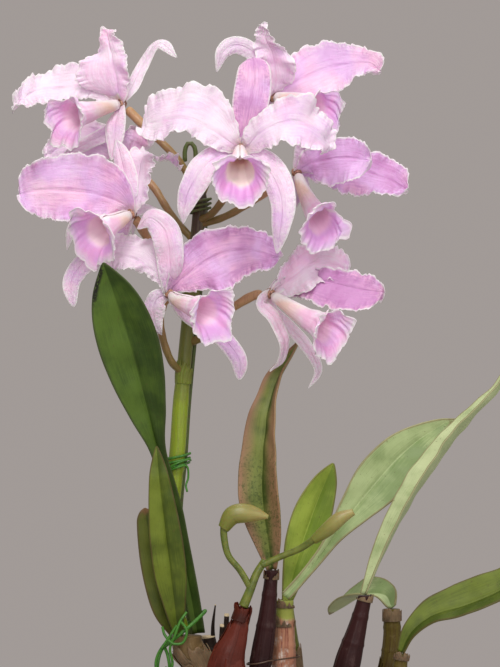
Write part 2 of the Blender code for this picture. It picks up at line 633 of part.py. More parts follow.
def bulb(name, spec, finish):
    """A pseudobulb, swollen above its foot, whose foot and top are level."""
    foot = np.array([*spec.foot, RHIZOME_Z + RHIZOME_RADIUS + FOOT_GAP])
    line = [foot, foot + (0, 0, BULB_FOOT), *[seen(point) for point in spec.line]]
    path = smooth_path(line, 8)
    path = np.vstack([path, path[-1] + (0, 0, BULB_CAP)])
    shares = np.linspace(0, 1, len(path))
    low, belly, top = spec.radii
    radii = np.interp(shares, (0, 0.12, 0.5, 0.9, 1), (low, low * 1.12, belly, top * 1.04, top))
    shapes = [tube(path, radii, 8, spec.flatness)]
    if name == "bulb_cut_stump":
        for cut, widths in OLD_CUTS:
            shapes.append(tube(smooth_path(cut, 5), np.interp(np.linspace(0, 2, 5), range(3), widths), 6))
    return fused(name, shapes, finish) if len(shapes) > 1 else solid(name, shapes[0], finish)


def rhizome(finish):
    def on_bark(places):
        return [np.array([x, y, RHIZOME_Z]) for x, y in places]

    main = smooth_path(on_bark(RHIZOME), 20)
    radii = [RHIZOME_RADIUS * (0.92 if step % 3 else 1) for step in range(20)]
    shapes = [tube(main, radii, 8, front=(0, 0, 1))]
    for places in BRANCHES:
        path = smooth_path(on_bark(places), 5)
        shapes.append(tube(path, (4.4, 4.2, 4.2, 4.6, 4.6), 8, front=(0, 0, 1)))
    for line in ROOTS:
        count = 2 * len(line) + 2
        path = smooth_path(line, count)
        radii = np.interp(np.linspace(0, 1, count), (0, 0.1, 0.9, 1), (2.4, ROOT_RADIUS, ROOT_RADIUS, 1.0))
        shapes.append(tube(path, radii, 5, front=(0.3, 0.2, 1)))
    return fused("rhizome_and_roots", shapes, finish)


def leaf(name, blade, finish):
    """A leaf, whose base is just above the top of its bulb."""
    rows, columns = (12 if blade.outline == STALKED_OUTLINE else 9), 5
    points, faces = shell(blade_grid(blade, [], rows, columns), LEAF_THICKNESS)
    seat = seen(BULBS[LEAF_BULBS[name]].line[-1])[2] + BULB_CAP + SEAT_GAP
    upper, lower = points[:columns], points[rows * columns : (rows + 1) * columns]
    points[:, 2] += seat - min(upper[:, 2].min(), lower[:, 2].min())
    return solid(name, (points, faces), finish)


def bud_spray(finish):
    stem = smooth_path([seen(point) for point in BUD_STEM], 6)
    shapes = [tube(stem, np.linspace(3.0, 2.2, 6), 7)]
    for key, line in BUD_STALKS.items():
        shapes.append(tube(smooth_path([seen(point) for point in line], 8), np.linspace(2.0, 2.2, 8), 6))
        points, radii = BUDS[key]
        path = smooth_path([seen(point) for point in points], 8)
        shapes.append(tube(path, np.interp(np.linspace(0, 1, 8), np.linspace(0, 1, 4), radii), 8))
    return fused("bud_spray", shapes, finish)


def stake(finish):
    line = [seen(point) for point in STAKE + STAKE_HOOK]
    return solid("stake", tube(smooth_path(line, 28), [STAKE_RADIUS] * 28, 5), finish)


def point_at(line, height):
    """Where the smooth curve through a line's points passes a height."""
    path = smooth_path([seen(point) for point in line], 200)
    return path[np.argmin(abs(path[:, 2] - height))]


def tie(name, first, second, wire_radius, finish):
    """A wire round two upright pieces, clear of both. Each is the middle and the radius of the piece there."""
    clear = wire_radius + 2 * SEAT_GAP
    axis = second[0] - first[0]
    turn = math.atan2(axis[1], axis[0])
    path = []
    for (centre, radius), start in ((first, turn + math.pi), (second, turn)):
        reach = radius + clear
        for angle in np.linspace(start - 1.4, start + 1.4, 6):
            across = math.cos(angle)
            path.append(centre + (reach * across, reach * math.sin(angle), TIE_TILT * across))
    return solid(name, ring(np.array(path), wire_radius, 5), finish)


def leaf_tie(finish):
    """The wire round the bases of the left leaves, with its loose loop."""
    centre, radius, rise = LEAF_TIE
    path = []
    for angle in np.linspace(0, math.tau, 14, endpoint=False):
        across = radius * math.cos(angle)
        path.append(np.array(centre) + (across, radius * math.sin(angle), rise * across))
    loop = tube(smooth_path(LEAF_TIE_LOOP, 12), [LEAF_TIE_RADIUS * 0.9] * 12, 5)
    return fused("tie_3", [ring(np.array(path), LEAF_TIE_RADIUS, 5), loop], finish)


def ties(finish):
    for index, height in enumerate(TIE_HEIGHTS):
        stem = point_at(SCAPE, height), SHEATH_RADIUS
        support = point_at(STAKE, height), STAKE_RADIUS
        tie(f"tie_{index + 1}", stem, support, TIE_RADIUS, finish)
    leaf_tie(finish)
    pair = []
    for name in ("bulb_dark_middle", "bulb_striped"):
        spec = BULBS[name]
        pair.append((point_at(spec.line, THIN_TIE_HEIGHT), spec.radii[1] * 1.05))
    tie("tie_4", *pair, THIN_TIE_RADIUS, finish)


def turned(name, profile, sides, finish):
    """A solid turned round the pot's axis from its (radius, z) profile, both ends of which are on the axis."""
    shape = bmesh.new()
    corners = [shape.verts.new((radius * MM, 0, z * MM)) for radius, z in profile]
    edges = [shape.edges.new(pair) for pair in zip(corners, corners[1:])]
    bmesh.ops.spin(shape, geom=corners + edges, cent=(0, 0, 0), axis=(0, 0, 1), angle=math.tau, steps=sides)
    bmesh.ops.remove_doubles(shape, verts=shape.verts, dist=1e-5)
    bmesh.ops.recalc_face_normals(shape, faces=shape.faces)
    mesh = bpy.data.meshes.new(name)
    shape.to_mesh(mesh)
    shape.free()
    mesh.shade_smooth()
    mesh.set_sharp_from_angle(angle=math.radians(40))
    mesh.materials.append(finish)
    made = bpy.data.objects.new(name, mesh)
    bpy.context.scene.collection.objects.link(made)
    return made


def upright_cutter(name, x, y, radius, low, high):
    """A plain round cutter, removed once it has cut."""
    path = [np.array([x, y, low]), np.array([x, y, high])]
    return solid(name, tube(path, [radius] * 2, 12), material(name, (1, 1, 1), 0.5))


def wall_radius(z):
    """Outer radius of the pot's body at a height."""
    return POT_FOOT_RADIUS + (POT_TOP_RADIUS - RIM_OVERHANG - POT_FOOT_RADIUS) * z / (POT_HEIGHT - RIM_HEIGHT)


def pot(finish):
    rim_low = POT_HEIGHT - RIM_HEIGHT
    inner = wall_radius(POT_HEIGHT) - POT_WALL
    profile = [
        (0, 0), (POT_FOOT_RADIUS - EDGE_ROUND, 0), (wall_radius(EDGE_ROUND), EDGE_ROUND),
        (wall_radius(rim_low), rim_low), (POT_TOP_RADIUS - EDGE_ROUND, rim_low),
        (POT_TOP_RADIUS, rim_low + EDGE_ROUND), (POT_TOP_RADIUS + 1, POT_HEIGHT - EDGE_ROUND),
        (POT_TOP_RADIUS - 0.5, POT_HEIGHT), (inner + EDGE_ROUND, POT_HEIGHT), (inner, POT_HEIGHT - EDGE_ROUND),
        (wall_radius(POT_FLOOR) - POT_WALL, POT_FLOOR), (0, POT_FLOOR),
    ]
    made = turned("pot", profile, POT_SIDES, finish)
    holes = []
    for turn in range(4):
        angle = math.tau * (turn + 0.5) / 4
        x, y = DRAIN_CIRCLE * math.cos(angle), DRAIN_CIRCLE * math.sin(angle)
        holes.append(upright_cutter(f"drain_{turn}", x, y, DRAIN_RADIUS, -5, POT_FLOOR + 5))
    apply_boolean(made, "DIFFERENCE", holes)
    return made


def covered(x, y):
    """How far a place on the bark is from the nearest rhizome or root that lies over it."""
    nearest = 1e9
    for places in [RHIZOME, *BRANCHES, *[[(px, py) for px, py, _ in line] for line in ROOTS]]:
        line = smooth_path([(px, py, 0) for px, py in places], 24)
        nearest = min(nearest, np.hypot(line[:, 0] - x, line[:, 1] - y).min())
    return nearest


def bark(finish):
    """Potting bark: a plug that fills the pot, with chips raised from its top."""
    chance = random.Random(7)
    inside = wall_radius(BARK_TOP) - POT_WALL - 2 * SEAT_GAP
    chips = []
    for _ in range(CHIPS):
        reach = inside * math.sqrt(chance.random())
        angle = chance.uniform(0, math.tau)
        tilt = chance.uniform(-CHIP_TILT, CHIP_TILT), chance.uniform(-CHIP_TILT, CHIP_TILT)
        chips.append((reach * math.cos(angle), reach * math.sin(angle), chance.uniform(0, CHIP_RISE), tilt))
    rings, sides = 10, POT_SIDES
    points = [np.array([0, 0, BARK_TOP])]
    for step in range(1, rings + 1):
        for turn in range(sides):
            angle = math.tau * turn / sides
            x, y = inside * step / rings * math.cos(angle), inside * step / rings * math.sin(angle)
            near = min(chips, key=lambda chip: math.hypot(chip[0] - x, chip[1] - y))
            away = math.hypot(near[0] - x, near[1] - y)
            slope = near[3][0] * (x - near[0]) + near[3][1] * (y - near[1])
            height = near[2] + slope - max(0, away - CHIP_REACH)
            if step == rings or covered(x, y) < ROOT_BED:
                height = min(height, 0)
            points.append(np.array([x, y, BARK_TOP + max(BARK_LOW, min(height, BARK_HIGH))]))
    foot = wall_radius(POT_FLOOR) - POT_WALL - 2 * SEAT_GAP
    first = len(points)
    for turn in range(sides):
        angle = math.tau * turn / sides
        points.append(np.array([foot * math.cos(angle), foot * math.sin(angle), POT_FLOOR + SEAT_GAP]))
    points.append(np.array([0, 0, POT_FLOOR + SEAT_GAP]))
    faces = []
    for turn in range(sides):
        after = (turn + 1) % sides
        faces.append((0, 1 + turn, 1 + after))
        for step in range(rings):
            a, b = 1 + step * sides + turn, 1 + step * sides + after
            if step < rings - 1:
                faces += [(a, a + sides, b + sides), (a, b + sides, b)]
            else:
                faces += [(a, first + turn, first + after), (a, first + after, b)]
        faces.append((first + turn, first + sides, first + after))
    made = solid("bark", (points, faces), finish)
    path = smooth_path([seen(point) for point in STAKE[:3]], 24)
    hole = solid("stake_hole", tube(path - (0, 0, 1.0), [STAKE_RADIUS + SEAT_GAP + 0.3] * 24, 8), finish)
    apply_boolean(made, "DIFFERENCE", [hole])
    return made


def main():
    for thing in list(bpy.data.objects):
        bpy.data.objects.remove(thing)

    petal_finish = material("petal", (0.86, 0.62, 0.84), 0.55)
    lip_finish = material("lip", (0.72, 0.3, 0.66), 0.5)
    stem_finish = material("stem", (0.3, 0.36, 0.06), 0.45)
    leaf_finish = material("leaf", (0.12, 0.26, 0.05), 0.4)
    pale_leaf = material("pale_leaf", (0.4, 0.52, 0.2), 0.45)
    bud_finish = material("bud", (0.5, 0.52, 0.16), 0.45)
    papery = material("papery_sheath", (0.36, 0.24, 0.13), 0.75)
    dark_purple = material("dark_purple_bulb", (0.07, 0.02, 0.03), 0.35)
    red_brown = material("red_brown_sheath", (0.25, 0.05, 0.03), 0.5)
    striped = material("striped_bulb", (0.45, 0.26, 0.24), 0.5)
    root_finish = material("root", (0.5, 0.46, 0.36), 0.8)
    wire = material("green_wire", (0.05, 0.3, 0.07), 0.4)
    clay = material("clay", (0.55, 0.25, 0.14), 0.85)
    bark_finish = material("bark", (0.2, 0.11, 0.06), 0.9)

    pot(clay)
    bark(bark_finish)
    rhizome(root_finish)
    bulb_finishes = {
        "bulb_papery": papery, "bulb_cut_stump": dark_purple, "bulb_new_growth": red_brown,
        "bulb_dark_middle": dark_purple, "bulb_striped": striped, "bulb_back": pale_leaf,
        "bulb_dark_right": dark_purple, "bulb_brown_right": papery, "bulb_low_right": pale_leaf,
    }
    for name, spec in BULBS.items():
        bulb(name, spec, bulb_finishes[name])
    for name, blade in LEAVES.items():
        leaf(name, blade, pale_leaf if "pale" in name or "drooping" in name else leaf_finish)
    flower_stem(stem_finish)
    bud_spray(bud_finish)
    stake(wire)
    ties(wire)
    for name, bloom in BLOOMS.items():
        bloom_tepals(name, bloom, petal_finish)
        solid(f"{name}_lip", shell(lip_grid(bloom, 7, 9), LIP_THICKNESS), lip_finish)


main()
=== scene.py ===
"""A cattleya orchid in flower in a clay pot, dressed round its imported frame: frilled lilac flowers, leathery
leaves, sheathed bulbs, roots and bark. Lengths are millimetres here and metres in the scene."""

import json
import math
from dataclasses import dataclass

import bmesh
import bpy
import numpy as np
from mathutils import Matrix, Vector

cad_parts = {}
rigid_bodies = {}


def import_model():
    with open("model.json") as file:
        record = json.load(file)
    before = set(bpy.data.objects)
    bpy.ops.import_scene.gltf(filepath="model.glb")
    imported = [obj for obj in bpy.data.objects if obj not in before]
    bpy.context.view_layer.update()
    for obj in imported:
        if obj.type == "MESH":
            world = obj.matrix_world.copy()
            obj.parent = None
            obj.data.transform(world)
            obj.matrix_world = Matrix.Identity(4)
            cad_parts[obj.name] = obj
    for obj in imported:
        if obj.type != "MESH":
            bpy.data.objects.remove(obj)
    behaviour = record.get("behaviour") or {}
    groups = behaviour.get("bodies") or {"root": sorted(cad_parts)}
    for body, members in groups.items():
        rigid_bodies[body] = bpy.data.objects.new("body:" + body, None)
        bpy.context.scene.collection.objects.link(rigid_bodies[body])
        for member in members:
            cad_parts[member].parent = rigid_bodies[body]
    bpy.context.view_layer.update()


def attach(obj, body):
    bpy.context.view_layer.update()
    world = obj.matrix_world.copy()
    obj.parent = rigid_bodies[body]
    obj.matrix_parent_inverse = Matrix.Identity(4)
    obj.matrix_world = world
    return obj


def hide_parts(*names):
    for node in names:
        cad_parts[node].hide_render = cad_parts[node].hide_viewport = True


MM = 0.001

# Where the plant is looked at from. A point (x, z, y) shows at (x, z) in the plane of the flower stem and
# lies at depth y, with -y towards the eye.
EYE = (-24.0, -1600.0, 370.0)
FRONT = (0, -1, 0)
TUBE_FRONT = (0, -1, 0.01)
LENS_MM = 144.0
SENSOR_MM = 36.0

# Pot and bark
POT_HEIGHT = 130.0
POT_TOP_RADIUS = 78.0
POT_FOOT_RADIUS = 56.0
POT_WALL = 6.0
POT_FLOOR = 9.0
RIM_HEIGHT = 20.0
RIM_OVERHANG = 4.0
DRAIN_HOLES = 4
DRAIN_RADIUS = 5.0
DRAIN_CIRCLE = 30.0
BARK_TOP = 118.0
CORNER_REACH = 2.0
CORNER_STEPS = 5
POT_WOBBLE = 0.12

# Clearances and thicknesses
SEAT_GAP = 0.3
PETAL_THICKNESS = 0.55
LEAF_THICKNESS = 1.7
HEART_RADIUS = 4.2

# Stems
STEM_RADIUS = 4.2
SHEATH_RADIUS = 4.8
SHEATH_TOP = 338.0
PEDICEL_RADIUS = 2.3
OVARY_RADIUS = 2.8
OVARY_LENGTH = 20.0
STAKE_RADIUS = 1.4
TIE_RADIUS = 0.8
LEAF_TIE_RADIUS = 1.1
THIN_TIE_RADIUS = 0.5

# Sizes that the CAD part shares with this scene
FOOT_GAP = 0.5
TEPAL_BASE = 0.15
TURN_SHARE = 0.35
COLUMN_RADII = (2.2, 1.7, 1.8, 2.0, 1.4)
SCAPE_FOOT_RADIUS = 3.2
SCAPE_TIP_RADIUS = 3.0
BULB_FOOT = 6.0
BULB_CAP = 0.8
TIE_TILT = 1.6
TIE_WRAP = 1.4

# Fine form
LIP_THICKNESS = 0.6
LIP_FRILL = 2.8
LEAF_FOLD = 0.3
TIP_WIDTH = 0.03
HEART_SHARE = 0.78
JOINT_SWELLING = 0.5
BULB_JOINT_SWELLING = 0.35
CAP_SHARE = 0.15
SKIN_GAP = 0.3
SKIN_THICKNESS = 0.35
STEM_JOINTS = [(-73.5, 230), (-68.4, 290), (-64, 343), (-59.5, 392)]
BULB_JOINTS = (0.22, 0.45, 0.66, 0.85)
# The side, as an angle, at which the bracts are open: towards the stake
BRACT_TURN = 2.26
# How much further from the stem its fine ties stand, and the rise of each further turn
TIE_SLACK = 1.3
TIE_TURNS = (0, -2.4, -4.6)

# Bark chips: how many kinds, their least and greatest length, width and depth, how rough their corners are,
# how far they tilt, how far they keep from the wall and from the stake, and the top of the bed under them
CHIP_KINDS = 6
CHIP_SIZES = ((8, 12), (5, 8), (2, 3.6))
CHIP_ROUGHNESS = (0.55, 0.5, 0.28)
CHIP_TILT = 0.4
CHIP_MARGIN = 6.0
CHIP_REACH = 2.4
BED_TOP = BARK_TOP - 4.0

# Margins: the lengths of the waves that run along them, and how far from the margin each kind dies away
RUFFLES, RUFFLE_REACH = (7.0, 4.7, 3.3), 3.4
SWELLS, SWELL_REACH = (17, 11), 8.0
NOTCHES, NOTCH_REACH = (5.3, 3.1, 2.1), 1.8
FOLDS, FOLD_REACH = (3.9, 2.7), 7.5
LOBES = (14.5, 9.3)
GROOVE_REACH = 1.3
LIP_SWELLS, LIP_FRILLS, MOUTH_REACH = (23, 15), (9, 6.1, 4.1), 6.5
LIP_NOTCHES, LIP_NOTCH_REACH = (3.3, 2.3, 5.1), 1.7
SLIT_REACH = 4.0

# Rows and columns of points on each kind of sheet, and points along and round the tubes
PETAL_GRID = (86, 37)
SEPAL_GRID = (56, 19)
LIP_GRID = (60, 92)
LEAF_GRID = (110, 27)
SHEATH_GRID = (34, 44)
COLUMN_POINTS = 21
BULB_POINTS = 70
BULB_SIDES = 44
STALK_POINTS = 44
TIE_POINTS = 70

# Colours of the flowers, and of the room
PETAL_BASE = (0.86, 0.62, 0.58)
PETAL_PALE = (0.97, 0.77, 0.96)
PETAL_ROSE = (0.96, 0.54, 0.78)
PETAL_LILAC = (0.8, 0.5, 0.87)
# The deepest petal colour: partly the petals' own deep mauve and partly painted shade, dulled and darkened for
# petals that lie in shadow
PETAL_DEEP_AND_SHADE = (0.6, 0.29, 0.57)
PETAL_RIM = (0.98, 0.9, 0.96)
LIP_LILAC = (0.82, 0.54, 0.92)
LIP_HEART = (1.0, 0.56, 0.86)
LIP_AMBER = (0.97, 0.64, 0.48)
LIP_CREAM = (1.0, 0.8, 0.76)
LIP_PEACH = (0.93, 0.6, 0.5)
LIP_MAGENTA = (0.72, 0.25, 0.66)
GROUND = (0.5, 0.47, 0.455)
AIR = (0.36, 0.325, 0.31)

# Single colours in the finishes of leaves and bulbs
SPECK_BROWN = (0.09, 0.05, 0.02)
SCAR_BLACK = (0.01, 0.01, 0.005)
DRY_BROWNS = ((0.07, 0.035, 0.015), (0.24, 0.13, 0.05))
BULB_DIRT = (0.03, 0.015, 0.01)
YOUNG_GREEN = (0.3, 0.33, 0.07)
CUT_WOOD = (0.62, 0.5, 0.32)
EDGE_BROWN = (0.09, 0.05, 0.02)

# Leaves: name, dark and light green, edge, the edge's width and the share of the tip that is dry
LEAF_FINISHES = {
    "green": ("leaf", (0.03, 0.062, 0.008), (0.085, 0.15, 0.018), (0.05, 0.07, 0.02)),
    "dull": ("dull leaf", (0.055, 0.085, 0.008), (0.16, 0.21, 0.022), EDGE_BROWN, 1.0),
    "brown_tipped": ("brown-tipped leaf", (0.04, 0.06, 0.008), (0.1, 0.12, 0.016), EDGE_BROWN, 1.5, 0.07),
    "ruddy": ("ruddy leaf", (0.045, 0.075, 0.012), (0.2, 0.24, 0.05), (0.32, 0.175, 0.1), 2.4),
    "pale": ("pale leaf", (0.22, 0.31, 0.12), (0.48, 0.58, 0.29), (0.26, 0.17, 0.09), 1.0, 0.05),
    "lime": ("lime leaf", (0.17, 0.26, 0.03), (0.36, 0.46, 0.07), (0.2, 0.16, 0.05), 0.8),
    "yellow": ("yellow leaf", (0.28, 0.37, 0.16), (0.54, 0.62, 0.34), (0.2, 0.12, 0.06), 0.8),
}
# Bulbs: name, colour low down and high up, streaks, their strength, the worn colour, its amount and the gloss
BULB_FINISHES = {
    "papery": ("papery bulb", (0.1, 0.06, 0.025), (0.2, 0.13, 0.055), (0.28, 0.2, 0.11), 0.6,
               (0.3, 0.22, 0.12), 0.2),
    "stump": ("cut stump", (0.008, 0.006, 0.005), (0.02, 0.012, 0.009), (0.06, 0.04, 0.025), 0.3,
              (0.05, 0.035, 0.025)),
    "growth": ("new growth", (0.05, 0.008, 0.004), (0.13, 0.018, 0.008), (0.03, 0.006, 0.004), 0.5,
               (0.17, 0.035, 0.015), 0.0, 0.25),
    "dark": ("dark bulb", (0.014, 0.004, 0.005), (0.035, 0.008, 0.009), (0.07, 0.025, 0.022), 0.3,
             (0.06, 0.03, 0.028), 0.0, 0.2),
    "striped": ("striped bulb", (0.5, 0.2, 0.14), (0.52, 0.27, 0.16), (0.17, 0.025, 0.02), 0.9,
                (0.78, 0.68, 0.6), 0.6),
    "brown": ("brown bulb", (0.06, 0.035, 0.01), (0.13, 0.1, 0.02), (0.06, 0.02, 0.012), 0.6,
              (0.17, 0.13, 0.05)),
    "green_bulb": ("green bulb", (0.08, 0.09, 0.015), (0.17, 0.2, 0.04), (0.2, 0.12, 0.06), 0.5),
}
# Wires: name, colour and worn colour
WIRE_FINISHES = {
    "stake": ("stake", (0.08, 0.12, 0.025), (0.1, 0.08, 0.03)),
    "wire": ("wire", (0.05, 0.2, 0.015), (0.025, 0.1, 0.015)),
    "brown wire": ("brown wire", (0.09, 0.05, 0.03), (0.04, 0.02, 0.015)),
}

# The floor's corners, and the lamps with their place, size, power and colour, which all face the plant's
# middle. These are metres.
FLOOR = [(-12, -12, 0), (12, -12, 0), (12, 1.2, 0), (-12, 1.2, 0)]
MIDDLE = (-0.02, 0, 0.38)
LAMPS = {
    "key light": ((-0.15, -0.85, 1.3), 0.4, 8.4, (1.0, 0.97, 0.93)),
    "fill light": ((1.5, -1.3, 0.9), 1.6, 9.0, (0.95, 0.97, 1.0)),
    "front light": ((-0.1, -2.6, 1.1), 1.2, 15.5, (1.0, 0.99, 0.98)),
    "top light": ((0.1, 0.5, 1.9), 1.0, 9.0, (1.0, 1.0, 1.0)),
}

# Lip, from its base to its margin: the share of its axis, its radius and half of the angle that it wraps
LIP_PROFILE = [
    (0, 3.2, 168), (0.34, 5.2, 170), (0.62, 7.2, 166), (0.82, 9.6, 150), (0.94, 13.5, 126), (1, 18, 104),
]
# How much further the thin edges of the fine lip reach round its tube: (share of the way, degrees)
LIP_CLOSING = [(0, 4), (0.34, 6), (0.62, 11), (0.82, 26), (0.94, 24), (1, 12)]


@dataclass
class Blade:
    """A petal, sepal or leaf: its midrib after the base, and half of its width on each side of that at even
    steps from base to tip. Left and right are as one sees them who walks along it with its face up. Front and
    roll say how it faces and turns, outline where it begins to close, flush how deep its colour is, which is
    partly its own tint and partly painted shade for blades that lie in shadow, and the rest how it is shaped."""

    line: list
    left: tuple
    right: tuple
    front: tuple
    roll: tuple
    outline: float
    cup: float
    wave: float = 0
    waves: float = 1
    frill: float = 0
    # How deep the blade's colour is: partly its own tint and partly painted shade for blades that lie in
    # shadow
    flush: float = 0
    groove: float = 0.5
    rough: float = 0.7


@dataclass
class Bloom:
    """A flower: its heart, where all parts meet, then its parts, which way its lip is up, and its stalk."""

    heart: tuple
    tepals: list
    lip: list
    lip_up: tuple
    stalk: list
    lip_size: float = 1.0
    rosy: float = 0.5
    cream: float = 0.3


def petal(line, left, right, front=FRONT, roll=(0, 0), flush=0.3):
    return Blade(line, left, right, front, roll, 0.88, cup=18, wave=2.8, waves=2.3, frill=2.2, flush=flush)


def sepal(line, left, right=None, front=FRONT, roll=(0, 0), flush=0.4):
    sides = left, right or left
    return Blade(line, *sides, front, roll, 0.8, cup=-26, wave=0.5, waves=1.2, frill=0.12, flush=flush)
